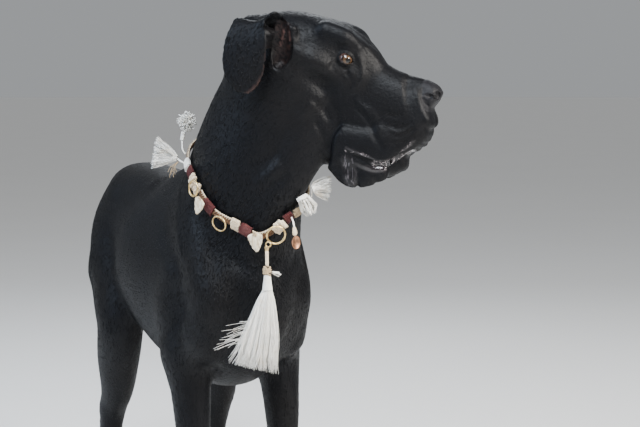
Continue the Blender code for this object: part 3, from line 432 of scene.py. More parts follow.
def add_foreleg(body, y):
    body.form(
        [
            (-0.035, y * 1.05, 0.485, 0.036, 0.045, 0.052),
            (-0.020, y, 0.430, 0.037, 0.045, 0.050),
            (-0.008, y, 0.370, 0.034, 0.041, 0.043),
            (0.000, y, 0.290, 0.029, 0.034, 0.033),
            (0.003, y, 0.215, 0.0275, 0.030, 0.028),
            (0.006, y, 0.175, 0.030, 0.032, 0.030),
            (0.006, y, 0.135, 0.0265, 0.027, 0.026),
            (0.014, y, 0.095, 0.0265, 0.026, 0.026),
            (0.028, y * 1.02, 0.055, 0.030, 0.028, 0.030),
        ],
        blend=0.035,
        square=2.1,
        cap=0.8,
    )
    # Elbow, and the small bone behind the wrist
    body.form(
        [(-0.075, y * 1.12, 0.475, 0.016, 0.02, 0.02), (-0.06, y * 1.08, 0.43, 0.016, 0.02, 0.02)],
        blend=0.035,
    )
    body.form(
        [(-0.018, y, 0.165, 0.013, 0.014, 0.014), (-0.026, y, 0.148, 0.012, 0.012, 0.012)],
        blend=0.02,
    )


def add_hind_leg(body, knee, hock, paw, side, **_):
    out = math.copysign(1, side)
    body.form(
        [
            (-0.505, 0.074 * out, 0.60, 0.048, 0.080, 0.100),
            ((knee - 0.50) / 2, 0.088 * out, 0.535, 0.049, 0.078, 0.092),
            (knee - 0.004, 0.096 * out, KNEE_HEIGHT, 0.047, 0.066, 0.074),
            (knee * 0.6 + hock * 0.4 + 0.008, side * 0.5 + 0.048 * out, 0.39, 0.044, 0.058, 0.062),
            (knee * 0.3 + hock * 0.7 + 0.012, side, 0.315, 0.0345, 0.044, 0.048),
            (hock + 0.015, side, HOCK_HEIGHT + 0.045, 0.025, 0.029, 0.032),
        ],
        blend=0.05,
        square=2.1,
        cap=0.8,
    )
    # Heel tendon and the point of the hock
    body.form(
        [
            (knee * 0.45 + hock * 0.55 - 0.036, side, 0.345, 0.018, 0.022, 0.022),
            (hock - 0.014, side, HOCK_HEIGHT + 0.055, 0.013, 0.014, 0.014),
            (hock - 0.028, side, HOCK_HEIGHT + 0.010, 0.016, 0.014, 0.014),
        ],
        blend=0.03,
    )
    # From the hock down to the paw
    body.form(
        [
            (hock + 0.020, side, HOCK_HEIGHT + 0.050, 0.024, 0.026, 0.028),
            (hock + 0.004, side, HOCK_HEIGHT, 0.0255, 0.034, 0.029),
            (hock + 0.002, side, HOCK_HEIGHT - 0.050, 0.0225, 0.026, 0.024),
            ((hock + paw) / 2 + 0.008, side, 0.115, 0.022, 0.024, 0.023),
            (paw - 0.010, side, 0.068, 0.025, 0.025, 0.024),
            (paw + 0.010, side, 0.048, 0.028, 0.026, 0.027),
        ],
        blend=0.03,
        square=2.1,
        cap=0.8,
    )


def add_paw(body, x, y, turn, scale=1.0):
    """Four toes with their pads, and the middle of the paw."""
    c, s = math.cos(turn), math.sin(turn)

    def row(forward, left, up, half, above, below):
        place = (x + (c * forward - s * left) * scale, y + (s * forward + c * left) * scale, up * scale)
        return place + (half * scale, above * scale, below * scale)

    level = (-s, c, 0)
    body.form(
        [
            row(-0.030, 0, 0.036, 0.028, 0.022, 0.028),
            row(0.000, 0, 0.034, 0.034, 0.026, 0.027),
            row(0.022, 0, 0.026, 0.034, 0.018, 0.020),
        ],
        across=level,
        blend=0.015,
        square=2.2,
    )
    for left, ahead in ((-0.030, -0.004), (-0.0105, 0.010), (0.0105, 0.010), (0.030, -0.004)):
        body.form(
            [
                row(ahead, left * 0.72, 0.040, 0.0115, 0.0130, 0.0140),
                row(ahead + 0.022, left * 0.93, 0.0385, 0.0115, 0.0120, 0.0130),
                row(ahead + 0.040, left, 0.024, 0.0115, 0.0125, 0.0130),
                row(ahead + 0.047, left, 0.013, 0.0105, 0.0100, 0.0100),
            ],
            across=level,
            blend=0.007,
            square=2.2,
        )
        body.form(
            [
                row(ahead + 0.034, left, 0.0075, 0.0098, 0.007, 0.0095),
                row(ahead + 0.048, left, 0.0070, 0.0090, 0.006, 0.0090),
            ],
            across=level,
            blend=0.006,
        )
    body.form(
        [row(-0.020, 0, 0.009, 0.024, 0.010, 0.011), row(0.006, 0, 0.008, 0.026, 0.010, 0.010)],
        across=level,
        blend=0.008,
    )


def add_tail(body):
    body.form(
        [
            (-0.595, 0, 0.715, 0.034, 0.030, 0.034),
            (-0.645, 0, 0.690, 0.029, 0.028, 0.030),
            (-0.682, -0.010, 0.630, 0.025, 0.025, 0.025),
            (-0.700, -0.018, 0.550, 0.021, 0.021, 0.021),
            (-0.712, -0.022, 0.460, 0.0175, 0.0175, 0.0175),
            (-0.722, -0.022, 0.370, 0.0145, 0.0145, 0.0145),
            (-0.742, -0.018, 0.285, 0.012, 0.012, 0.012),
            (-0.777, -0.012, 0.215, 0.0085, 0.0085, 0.0085),
            (-0.795, -0.010, 0.193, 0.0055, 0.0055, 0.0055),
        ],
        blend=0.04,
    )


def add_neck(body):
    body.form(
        [
            (-0.020, 0, 0.700, 0.095, 0.150, 0.155),
            (0.028, 0, 0.775, 0.090, 0.148, 0.138),
            (0.064, 0.002, 0.850, 0.082, 0.138, 0.116),
            (0.094, 0.008, 0.925, 0.072, 0.119, 0.104),
            (0.120, 0.014, 0.985, 0.062, 0.094, 0.092),
            (0.142, 0.028, 1.035, 0.056, 0.072, 0.085),
        ],
        flow=-1,
        across=(-0.25, 1, 0),
        blend=0.055,
        square=2.05,
        cap=0.5,
    )
    # Loose skin from the chin to the throat
    body.form(
        [
            (0.190, 0.060, 0.915, 0.026, 0.026, 0.026),
            (0.192, 0.056, 0.862, 0.023, 0.023, 0.023),
            (0.186, 0.040, 0.830, 0.019, 0.019, 0.019),
            (0.176, 0.022, 0.795, 0.017, 0.017, 0.017),
        ],
        across=(-0.3, 1, 0),
        blend=0.05,
    )
    # Windpipe
    body.form(
        [
            (0.185, 0.050, 0.93, 0.030, 0.03, 0.03),
            (0.180, 0.032, 0.86, 0.032, 0.03, 0.03),
            (0.152, 0.011, 0.78, 0.034, 0.03, 0.03),
            (0.120, 0.000, 0.70, 0.035, 0.03, 0.03),
        ],
        across=(-0.3, 1, 0),
        blend=0.05,
    )


def head_shape():
    """The head in its own frame: X along the bridge to the nose, Y left, Z up."""
    head = Shape(HEAD_TURN, HEAD_PLACE)
    # Skull
    head.form(
        [
            (-0.04, 0, -0.008, 0.044, 0.0370, 0.050),
            (0.02, 0, 0.000, 0.060, 0.0560, 0.060),
            (0.065, 0, 0.000, 0.066, 0.0625, 0.060),
            (0.10, 0, 0.000, 0.062, 0.0645, 0.055),
            (0.128, 0, -0.002, 0.050, 0.0590, 0.050),
            (0.15, 0, -0.008, 0.044, 0.0540, 0.050),
        ],
        flow=-1,
        square=2.5,
        blend=0.02,
        cap=0.7,
        egg=-0.06,
    )
    # Muzzle
    head.form(
        [
            (0.11, 0, -0.045, 0.046, 0.0780, 0.070),
            (0.16, 0, -0.050, 0.044, 0.0860, 0.080),
            (0.20, 0, -0.055, 0.042, 0.0735, 0.085),
            (0.25, 0, -0.055, 0.0415, 0.0675, 0.080),
            (0.275, 0, -0.050, 0.041, 0.0665, 0.061),
            (0.2940, 0, -0.034, 0.036, 0.0510, 0.033),
        ],
        flow=-1,
        square=2.9,
        blend=0.03,
        cap=0.42,
        egg=-0.06,
    )
    # Bridge
    head.form(
        [
            (0.15, 0, 0.014, 0.0180, 0.0240, 0.03),
            (0.19, 0, 0.001, 0.0180, 0.0220, 0.03),
            (0.23, 0, -0.008, 0.0185, 0.0250, 0.03),
            (0.27, 0, -0.008, 0.0190, 0.0275, 0.03),
        ],
        flow=-1,
        square=2.4,
        blend=0.02,
    )
    # Lower jaw and throat
    head.form(
        [
            (0.07, 0, -0.085, 0.050, 0.050, 0.045),
            (0.14, 0, -0.130, 0.045, 0.042, 0.049),
            (0.20, 0, -0.140, 0.037, 0.030, 0.033),
            (0.255, 0, -0.137, 0.031, 0.025, 0.030),
            (0.283, 0, -0.127, 0.023, 0.022, 0.020),
        ],
        flow=-1,
        square=2.3,
        blend=0.02,
        cap=0.6,
    )
    head.form(
        [
            (-0.02, 0, -0.060, 0.046, 0.060, 0.060),
            (0.05, 0, -0.100, 0.046, 0.060, 0.060),
            (0.12, 0, -0.125, 0.036, 0.045, 0.045),
        ],
        flow=-1,
        square=2.1,
        blend=0.04,
    )
    # Upper lip, and the hanging folds of the lower lip
    head.form(
        [
            (0.294, 0.022, -0.060, 0.0120, 0.022, 0.018),
            (0.278, 0.031, -0.081, 0.0120, 0.028, 0.024),
            (0.254, 0.0380, -0.104, 0.0110, 0.034, 0.030),
            (0.220, 0.041, -0.118, 0.0105, 0.040, 0.028),
            (0.175, 0.043, -0.122, 0.0100, 0.040, 0.024),
        ],
        both=True,
        blend=0.014,
    )
    head.form(
        [
            (0.262, 0.030, -0.150, 0.0100, 0.018, 0.017),
            (0.238, 0.034, -0.166, 0.0100, 0.022, 0.021),
            (0.212, 0.036, -0.172, 0.0105, 0.026, 0.025),
            (0.184, 0.038, -0.158, 0.0100, 0.026, 0.020),
        ],
        both=True,
        blend=0.014,
    )
    # Cheek, cheek bone and brow
    head.form(
        [
            (0.030, 0.048, -0.030, 0.022, 0.030, 0.030),
            (0.065, 0.050, -0.060, 0.024, 0.036, 0.034),
            (0.105, 0.046, -0.085, 0.016, 0.030, 0.028),
        ],
        flow=-1,
        both=True,
        blend=0.03,
    )
    head.form(
        [
            (0.030, 0.058, 0.000, 0.012, 0.016, 0.014),
            (0.085, 0.062, -0.008, 0.012, 0.014, 0.014),
            (0.130, 0.048, -0.014, 0.011, 0.012, 0.013),
            (0.170, 0.036, -0.020, 0.008, 0.012, 0.014),
        ],
        flow=-1,
        both=True,
        blend=0.03,
    )
    head.form(
        [
            (0.095, 0.045, 0.046, 0.014, 0.016, 0.014),
            (0.128, 0.041, 0.043, 0.016, 0.018, 0.014),
            (0.150, 0.031, 0.031, 0.013, 0.015, 0.014),
        ],
        flow=-1,
        both=True,
        blend=0.025,
    )
    # Nose, with a wing beside each nostril
    head.form(
        [
            (0.278, 0, -0.004, 0.0210, 0.0250, 0.024),
            (0.294, 0, -0.006, 0.0245, 0.0250, 0.025),
            (0.304, 0, -0.009, 0.0235, 0.0210, 0.023),
        ],
        square=2.3,
        blend=0.010,
        cap=0.35,
    )
    head.form(
        [(0.289, 0.0175, -0.008, 0.0090, 0.012, 0.01), (0.300, 0.0175, -0.009, 0.0085, 0.012, 0.01)],
        both=True,
        blend=0.006,
        cap=0.8,
    )
    # Mouth, the hollow round the eye, and the line below the nose
    mouth = [
        (0.309, 0.010, -0.064),
        (0.297, 0.025, -0.085),
        (0.283, 0.035, -0.110),
        (0.268, 0.040, -0.132),
        (0.250, 0.043, -0.1425),
        (0.232, 0.044, -0.142),
        (0.190, 0.046, -0.137),
    ]
    head.crease(mouth, 0.007, 0.0045)
    head.crease([(0.158, 0.050, -0.001), (0.1415, 0.060, -0.006), (0.124, 0.062, 0.000)], 0.004, 0.012)
    head.crease([(0.318, 0.0, -0.020), (0.318, 0.0, -0.060)], 0.003, 0.004, both=False)
    return head


def ear_shape():
    """Both ears: a cup at the skull, then a flap that folds over and hangs."""
    ears = Shape(HEAD_TURN, HEAD_PLACE)
    fold = (0.90, 0.14, 0.41)
    ears.form(
        [
            (0.044, 0.050, -0.036, 0.020, 0.015, 0.015),
            (0.036, 0.059, -0.004, 0.027, 0.016, 0.016),
            (0.026, 0.062, 0.026, 0.028, 0.012, 0.012),
        ],
        across=fold,
        both=True,
        blend=0.010,
        square=2.2,
        cap=0.8,
    )
    ears.form(
        [
            (0.026, 0.0500, -0.004, 0.026, 0.0045, 0.0045),
            (0.008, 0.0580, 0.018, 0.038, 0.0045, 0.0045),
            (-0.011, 0.0680, 0.024, 0.047, 0.0045, 0.0045),
            (-0.021, 0.0790, 0.019, 0.047, 0.0040, 0.0040),
            (-0.022, 0.0870, 0.001, 0.0460, 0.0036, 0.0036),
            (-0.020, 0.0905, -0.025, 0.0460, 0.0033, 0.0033),
            (-0.012, 0.0915, -0.055, 0.0440, 0.0032, 0.0032),
            (-0.004, 0.0910, -0.078, 0.0345, 0.0031, 0.0031),
            (0.001, 0.0900, -0.094, 0.0200, 0.0030, 0.0030),
        ],
        across=fold,
        both=True,
        blend=0.008,
        square=2.3,
        cap=1.6,
        steps=6,
    )
    return ears


def body_shape():
    body = Shape()
    add_trunk(body)
    for y in (LEG_HALF_APART, -LEG_HALF_APART):
        add_foreleg(body, y)
        add_paw(body, 0.052, y * 1.065, math.copysign(0.04, y))
    for leg in HIND.values():
        add_hind_leg(body, **leg)
        add_paw(body, leg["paw"] + 0.040, leg["side"] * 1.02, math.copysign(0.05, leg["side"]), 0.95)
    add_tail(body)
    add_neck(body)
    return body

# Openings are cut into the skin after its forms are joined


class Opening:
    """A place cut out of the skin, rounded at its rim."""

    def __init__(self, form, reach):
        self.form, self.reach = form, reach

    def cut(self, total, points):
        return -blended(-total, self.form.distance(points), self.reach)


class LidOpening:
    """The almond between the lids, cut as far in as the eyeball."""

    def __init__(self, place, axis, half_width, above, below, back, reach):
        self.place = np.array(place, float)
        self.axis = unit(np.array(axis, float))
        ahead = np.array((1.0, 0, 0)) - self.axis[0] * self.axis
        self.ahead = unit(ahead + np.array((0, 0, -0.10)))
        self.up = np.cross(self.ahead, self.axis)
        self.up *= np.sign(self.up[2])
        self.half_width, self.above, self.below = half_width, above, below
        self.back, self.reach = back, reach

    def cut(self, total, points):
        near = (np.abs(points - self.place) < 0.03).all(1)
        p = points[near] - self.place
        if not len(p):
            return total
        u, v, w = p @ self.ahead, p @ self.up, p @ self.axis
        share = np.clip(np.abs(u) / self.half_width, 0, 1)
        height = np.where(v > 0, self.above, self.below) * (1 - share**2.2)
        wide = np.maximum(np.abs(u) - self.half_width, 0)
        away = np.hypot(np.maximum(np.abs(v) - height, 0), wide)
        inside = (np.abs(v) < height) & (wide == 0)
        away = np.where(inside, -np.minimum(height - np.abs(v), self.half_width - np.abs(u)), away) * 0.85
        away = np.maximum(away, self.back - w)
        out = total.copy()
        out[near] = -blended(-total[near], away, self.reach)
        return out


class Ball:
    """A round lump, used for the lids."""

    def __init__(self, place, radius, blend):
        self.place, self.radius, self.blend = np.array(place, float), radius, blend

    def distance(self, points):
        return np.linalg.norm(points - self.place, axis=1) - self.radius


# Folds of the face, mirrored across y = 0 unless one side is named


def add_face(head):
    ridge, groove = -1.0, 1.0
    strokes = [
        # Inner corner of the eye, under the eye, and the lid folds
        ([(0.159, 0.044, 0.026), (0.170, 0.042, 0.014), (0.181, 0.0435, -0.005), (0.182, 0.0455, -0.024)], ridge, 0.0020, 0.0055),
        ([(0.150, 0.049, -0.010), (0.161, 0.048, -0.016), (0.172, 0.046, -0.030)], groove, 0.0022, 0.0050),
        ([(0.118, 0.056, -0.002), (0.134, 0.057, -0.012), (0.152, 0.053, -0.020), (0.170, 0.047, -0.038)], groove, 0.0016, 0.0050),
        ([(0.120, 0.053, 0.016), (0.130, 0.052, 0.029), (0.146, 0.050, 0.034), (0.160, 0.043, 0.031)], groove, 0.0020, 0.0042),
        # Brow to bridge
        ([(0.155, 0.021, 0.050), (0.172, 0.024, 0.036), (0.188, 0.021, 0.026), (0.205, 0.017, 0.019)], ridge, 0.0016, 0.0050),
        # Cheek and the fold that bounds the hanging lip
        ([(0.111, 0.062, -0.070), (0.132, 0.050, -0.079), (0.154, 0.043, -0.099)], groove, 0.0022, 0.0065),
        ([(0.106, 0.062, -0.083), (0.128, 0.051, -0.092), (0.148, 0.046, -0.110)], ridge, 0.0015, 0.0065),
        ([(0.130, 0.050, -0.060), (0.150, 0.045, -0.075), (0.164, 0.043, -0.094), (0.172, 0.050, -0.116)], groove, 0.0030, 0.0060),
        ([(0.125, 0.052, -0.105), (0.137, 0.048, -0.116), (0.150, 0.045, -0.132), (0.166, 0.045, -0.146)], groove, 0.0022, 0.0050),
        ([(0.174, 0.044, -0.056), (0.195, 0.0425, -0.0645), (0.215, 0.042, -0.075), (0.226, 0.045, -0.088), (0.243, 0.050, -0.103), (0.257, 0.050, -0.114)], groove, 0.0034, 0.0050),
        ([(0.176, 0.044, -0.046), (0.193, 0.043, -0.056), (0.208, 0.044, -0.066), (0.222, 0.047, -0.077), (0.236, 0.050, -0.090)], ridge, 0.0024, 0.0060),
        ([(0.196, 0.043, -0.052), (0.216, 0.042, -0.061), (0.232, 0.044, -0.073), (0.247, 0.047, -0.086)], ridge, 0.0014, 0.0060),
        # Rows of the whiskers
        ([(0.235, 0.0415, -0.052), (0.252, 0.0414, -0.0534), (0.268, 0.0412, -0.047)], groove, 0.0016, 0.0034),
        ([(0.249, 0.0422, -0.069), (0.266, 0.0438, -0.070), (0.283, 0.0423, -0.060), (0.286, 0.0395, -0.050)], groove, 0.0018, 0.0034),
        ([(0.256, 0.0465, -0.084), (0.272, 0.0463, -0.083), (0.286, 0.0428, -0.073), (0.294, 0.038, -0.0600)], groove, 0.0019, 0.0034),
        ([(0.262, 0.0483, -0.0975), (0.277, 0.046, -0.0946), (0.290, 0.0425, -0.084)], groove, 0.0018, 0.0034),
        # Margins of the lips, and the deep gap between them
        (MOUTH_UPPER, ridge, 0.0016, 0.0030),
        ([(0.289, 0.030, -0.122), (0.268, 0.035, -0.1425), (0.248, 0.038, -0.152), (0.226, 0.040, -0.152), (0.192, 0.043, -0.147)], ridge, 0.0018, 0.0030),
        ([(0.300, 0.018, -0.085), (0.284, 0.028, -0.110), (0.264, 0.032, -0.132), (0.246, 0.034, -0.142), (0.220, 0.036, -0.140), (0.192, 0.038, -0.137)], groove, 0.0080, 0.0038),
        # Edge of the nose
        ([(0.2785, 0.0, 0.0185), (0.2790, 0.013, 0.0165), (0.2790, 0.0235, 0.006), (0.2830, 0.0275, -0.006)], groove, 0.0006, 0.0026),
        ([(0.2890, 0.0245, -0.012), (0.2960, 0.0215, -0.0145), (0.3050, 0.0170, -0.0150)], ridge, 0.0010, 0.0022),
        ([(0.2850, 0.030, -0.0080), (0.2965, 0.030, -0.0224), (0.3070, 0.030, -0.0380)], groove, 0.0018, 0.0070),
        ([(0.2461, 0.040, 0.0138), (0.2567, 0.040, -0.0055), (0.2676, 0.040, -0.0266)], groove, 0.0016, 0.0080),
        # Behind the ear cup and over the temple
        ([(0.070, 0.066, 0.022), (0.080, 0.071, 0.000), (0.082, 0.072, -0.022)], groove, 0.0014, 0.0080),
    ]
    for path, way, depth, width in strokes:
        head.crease(path, way * depth, width)
    # Wrinkles of the hanging lip folds, and beads along the wet margin
    for k in range(9):
        x = 0.188 + 0.0085 * k
        low = -0.180 + 0.0045 * abs(k - 3) + (0.012 if k == 4 else 0)
        lean = 0.012 * math.sin(1.7 * k + 0.6)
        head.crease([(x, 0.050, -0.153), (x + 0.004 + lean / 2, 0.048, -0.166), (x + 0.008 + lean, 0.046, low)], 0.0021, 0.0023)
    for k in range(14):
        share = (k + 0.5) / 14
        place = np.array([np.interp(share, np.linspace(0, 1, 5), c) for c in np.array(LOWER_BEADS).T])
        head.crease([place - (0.0012, 0, 0.001), place + (0.0012, 0.0004, 0.001)], -0.0022, 0.0021)
    for path in ([(0.2300, 0.030, -0.192), (0.2290, 0.046, -0.180), (0.2240, 0.048, -0.163)], [(0.2600, 0.030, -0.176), (0.2570, 0.044, -0.164), (0.2520, 0.045, -0.152)]):
        head.crease(path, 0.0050, 0.0042)
    # A whisker bump on the cheek and two on the brow
    for place, size in (((0.106, 0.0615, -0.0555), 0.0026), ((0.136, 0.050, 0.042), 0.0014), ((0.150, 0.041, 0.042), 0.0012)):
        place = np.array(place)
        head.crease([place - (0.001, 0, 0), place + (0.001, 0, 0)], -size, 0.0038)
    head.crease([(0.070, 0, 0.064), (0.120, 0, 0.063), (0.155, 0, 0.048), (0.182, 0, 0.030)], 0.0028, 0.0080, both=False)

    # Lids: a lump over each eyeball, then the almond
    ball = Ball(EYE_PLACE, EYE_RADIUS + COAT + 0.0014, 0.006)
    head.lids.append((ball, LidOpening(EYE_PLACE, EYE_AXIS, 0.0100, 0.0028, 0.0036, 0.0040, 0.0010)))
    # Nostrils and the slit beside each
    for stations, reach in (
        ([(0.3200, 0.0165, 0.0020, 0.0066, 0.0058, 0.0062), (0.3080, 0.0138, 0.0010, 0.0062, 0.0054, 0.0058), (0.2960, 0.0110, -0.0005, 0.0046, 0.0040, 0.0040)], 0.0018),
        ([(0.3090, 0.0175, -0.0010, 0.0030, 0.0030, 0.0030), (0.3000, 0.0232, -0.0030, 0.0025, 0.0025, 0.0025), (0.2890, 0.0268, -0.0030, 0.0016, 0.0016, 0.0016)], 0.0018),
    ):
        head.openings.append(Opening(Form(stations, blend=0.004), reach))


def add_ear_details(ears):
    """The hollow of the ear, and the ridges of gristle in it."""
    hollow = [
        (0.0250, 0.0765, 0.0330, 0.0120, 0.0090, 0.0090),
        (0.0325, 0.0790, 0.0120, 0.0180, 0.0150, 0.0130),
        (0.0390, 0.0750, -0.0120, 0.0180, 0.0150, 0.0130),
        (0.0415, 0.0680, -0.0320, 0.0100, 0.0100, 0.0090),
    ]
    ears.openings.append(Opening(Form(hollow, across=(0.9, 0, 0.45), blend=0.004), 0.003))
    for path in GRISTLE:
        ears.crease(path, -0.0036, 0.0030)
    # Rolled front edge of the flap, and its small notch behind
    ears.crease(FLAP_EDGE, -0.0018, 0.0032)
    ears.crease([(-0.066, 0.088, -0.050), (-0.058, 0.090, -0.052)], 0.0040, 0.0040)


def add_body_details(body):
    """Loose skin of the throat, and the lines of muscle under the coat."""
    for path, depth, width in (
        ([(0.150, -0.040, 0.800), (0.176, -0.019, 0.828), (0.197, 0.000, 0.848)], -0.0030, 0.009),
        ([(0.166, -0.026, 0.790), (0.186, -0.010, 0.812), (0.203, 0.011, 0.837)], 0.0025, 0.008),
        ([(0.144, -0.046, 0.835), (0.168, -0.026, 0.853), (0.193, -0.003, 0.868)], 0.0022, 0.010),
        ([(0.160, 0.060, 0.830), (0.180, 0.040, 0.860), (0.190, 0.030, 0.900)], 0.0022, 0.010),
    ):
        body.crease(path, depth, width, both=False)
    for path, depth, width in (
        # Groove of the neck vein, and the fold before the shoulder
        ([(0.110, 0.070, 0.930), (0.110, 0.080, 0.850), (0.108, 0.074, 0.770), (0.110, 0.050, 0.700)], 0.0030, 0.016),
        ([(0.010, 0.105, 0.780), (0.070, 0.098, 0.700), (0.100, 0.085, 0.630)], 0.0030, 0.014),
        # Between the breast muscles, and their lower edges
        ([(0.120, 0.060, 0.690), (0.128, 0.030, 0.640), (0.125, 0.006, 0.600)], 0.0022, 0.012),
        ([(0.100, 0.100, 0.560), (0.085, 0.075, 0.505), (0.060, 0.050, 0.470)], 0.0028, 0.010),
        # Shoulder blade's ridge and the edge behind the upper arm
        ([(-0.070, 0.085, 0.790), (-0.030, 0.110, 0.720), (0.020, 0.120, 0.640)], -0.0025, 0.012),
        ([(-0.090, 0.130, 0.680), (-0.115, 0.138, 0.580), (-0.100, 0.130, 0.500)], 0.0035, 0.014),
        # Flank, thigh and lower leg
        ([(-0.400, 0.110, 0.640), (-0.430, 0.118, 0.560), (-0.400, 0.125, 0.500)], 0.0035, 0.014),
        ([(-0.560, 0.110, 0.640), (-0.560, 0.120, 0.540), (-0.530, 0.125, 0.440)], 0.0026, 0.014),
        # Muscle of the forearm, and the vein and tendon below it
        ([(0.010, 0.122, 0.420), (0.016, 0.118, 0.350), (0.012, 0.110, 0.280)], 0.0022, 0.010),
        ([(0.030, 0.092, 0.300), (0.034, 0.092, 0.220), (0.036, 0.092, 0.190)], -0.0014, 0.006),
    ):
        body.crease(path, depth, width)
    # Ribs show a little through the thin coat
    for k in range(7):
        x = -0.160 - 0.030 * k
        path = [(x, 0.128, 0.690), (x - 0.018, 0.138, 0.620), (x - 0.012, 0.132, 0.545), (x + 0.012, 0.105, 0.480)]
        body.crease(path, -0.0010, 0.0070)


# Meshes


def built(name, points, *groups):
    """A mesh object from points and groups of faces. The faces of one group have the same number of corners."""
    groups = [np.asarray(group) for group in groups if len(group)]
    corners = np.concatenate([group.ravel() for group in groups])
    sizes = np.concatenate([np.full(len(group), group.shape[1]) for group in groups])
    mesh = bpy.data.meshes.new(name)
    mesh.vertices.add(len(points))
    mesh.vertices.foreach_set("co", np.asarray(points, float).ravel())
    mesh.loops.add(len(corners))
    mesh.loops.foreach_set("vertex_index", corners)
    mesh.polygons.add(len(sizes))
    mesh.polygons.foreach_set("loop_start", np.cumsum(sizes) - sizes)
    mesh.update(calc_edges=True)
    item = bpy.data.objects.new(name, mesh)
    bpy.context.collection.objects.link(item)
    return item


def arrays(item):
    mesh = item.data
    points = np.empty(len(mesh.vertices) * 3)
    mesh.vertices.foreach_get("co", points)
    edges = np.empty(len(mesh.edges) * 2, np.int64)
    mesh.edges.foreach_get("vertices", edges)
    return points.reshape(-1, 3), edges.reshape(-1, 2)


def set_points(item, points):
    item.data.vertices.foreach_set("co", np.asarray(points, float).ravel())
    item.data.update()


def smooth(item):
    item.data.polygons.foreach_set("use_smooth", np.ones(len(item.data.polygons), bool))
    return item


def put_values(item, name, values):
    """Stores a number or a vector at every point, for the material to read."""
    values = np.asarray(values, float)
    kind = "FLOAT" if values.ndim == 1 else "FLOAT_VECTOR"
    attribute = item.data.attributes.new(name, kind, "POINT")
    attribute.data.foreach_set("value" if values.ndim == 1 else "vector", values.ravel())


def evened(points, edges, normals, share=0.6):
    """Points moved part of the way to the middle of their neighbours, along the skin only."""
    total = np.zeros_like(points)
    for a, b in ((0, 1), (1, 0)):
        for k in range(3):
            total[:, k] += np.bincount(edges[:, a], points[edges[:, b], k], len(points))
    move = total / np.maximum(np.bincount(edges.ravel(), minlength=len(points)), 1)[:, None] - points
    move -= (move * normals).sum(1)[:, None] * normals
    return points + share * move


def frames(paths, wide=None):
    """Directions along, across and up for many paths at once, each n x m x 3."""
    along = unit(np.gradient(paths, axis=1))
    if wide is None:
        wide = np.where(np.abs(along[:, :1, 2:]) > 0.9, (1.0, 0.0, 0.0), (0.0, 0.0, 1.0))
    wide = np.broadcast_to(wide, paths.shape)
    across = unit(wide - (wide * along).sum(2, keepdims=True) * along)
    return along, across, np.cross(along, across)


def tubes(name, paths, half, sides=5, flat=1.0, wide=None):
    """Closed round or flat bars along many paths, joined as one mesh. half is the half width at each station."""
    paths = np.asarray(paths, float)
    count, length = paths.shape[:2]
    _, across, up = frames(paths, wide)
    angle = np.arange(sides) / sides * 2 * math.pi
    half = np.broadcast_to(half, (count, length))[:, :, None, None]
    points = paths[:, :, None] + half * np.cos(angle)[:, None] * across[:, :, None]
    points = points + half * flat * np.sin(angle)[:, None] * up[:, :, None]
    start = (np.arange(count) * length * sides)[:, None, None]
    a = start + (np.arange(length - 1) * sides)[None, :, None] + np.arange(sides)
    b = start + (np.arange(length - 1) * sides)[None, :, None] + (np.arange(sides) + 1) % sides
    quads = np.stack([a, b, b + sides, a + sides], -1).reshape(-1, 4)
    low = start[:, 0] + np.arange(sides)[::-1]
    high = start[:, 0] + (length - 1) * sides + np.arange(sides)
    return smooth(built(name, points.reshape(-1, 3), quads, np.concatenate([low, high])))


def joined(name, items):
    """One object from several."""
    form = bmesh.new()
    for item in items:
        form.from_mesh(item.data)
        bpy.data.objects.remove(item)
    mesh = bpy.data.meshes.new(name)
    form.to_mesh(mesh)
    form.free()
    item = bpy.data.objects.new(name, mesh)
    bpy.context.collection.objects.link(item)
    return smooth(item)


# The skin


def head_local(points):
    """Places in the head's frame, the right side folded onto the left."""
    return HEAD.local(points)[1]


def first_mesh(shapes):
    """All forms drawn as bars and melted into one even mesh, ears thickened to survive it."""
    points, groups, start = [], [], 0
    for shape in shapes:
        for form, both in shape.forms:
            if isinstance(form, Ball):
                continue
            rings = np.array(form.rings(16, 0.0057, 6.0 if form.half.min() < 0.0046 else None))
            count = len(rings)
            i, j = np.meshgrid(np.arange(16), np.arange(count - 1))
            quads = np.stack([j * 16 + i, j * 16 + (i + 1) % 16, (j + 1) * 16 + (i + 1) % 16, (j + 1) * 16 + i], -1)
            ends = [np.arange(16)[::-1], (count - 1) * 16 + np.arange(16)]
            for flip in (1, -1) if both else (1,):
                points.append(shape.world(rings.reshape(-1, 3) * [1, flip, 1]))
                turn = slice(None, None, flip)
                groups.append((start + quads.reshape(-1, 4)[:, turn], start + np.array(ends)[:, turn]))
                start += count * 16
    item = built("skin", np.concatenate(points), *[group for pair in groups for group in pair])
    form = bmesh.new()
    form.from_mesh(item.data)
    bmesh.ops.recalc_face_normals(form, faces=form.faces)
    form.to_mesh(item.data)
    form.free()
    modifier = item.modifiers.new("melt", "REMESH")
    modifier.mode = "VOXEL"
    modifier.voxel_size = SKIN_CELL
    mesh = bpy.data.meshes.new_from_object(item.evaluated_get(bpy.context.evaluated_depsgraph_get()))
    item.modifiers.clear()
    item.data = mesh
    return item


def refine(item, chosen):
    """Every edge between chosen points is halved."""
    form = bmesh.new()
    form.from_mesh(item.data)
    edges = [edge for edge in form.edges if chosen[edge.verts[0].index] and chosen[edge.verts[1].index]]
    bmesh.ops.subdivide_edges(form, edges=edges, cuts=1, use_grid_fill=True)
    form.to_mesh(item.data)
    form.free()


def in_head(points):
    p = head_local(points)
    front = (p[:, 0] > 0.055) & (p[:, 2] > -0.235) & (p[:, 0] < 0.36)
    top = (p[:, 0] > -0.09) & (p[:, 0] <= 0.055) & (p[:, 2] > -0.115) & (p[:, 1] < 0.12)
    return front & (p[:, 1] < 0.12) | top | (points[:, 2] < 0.072)


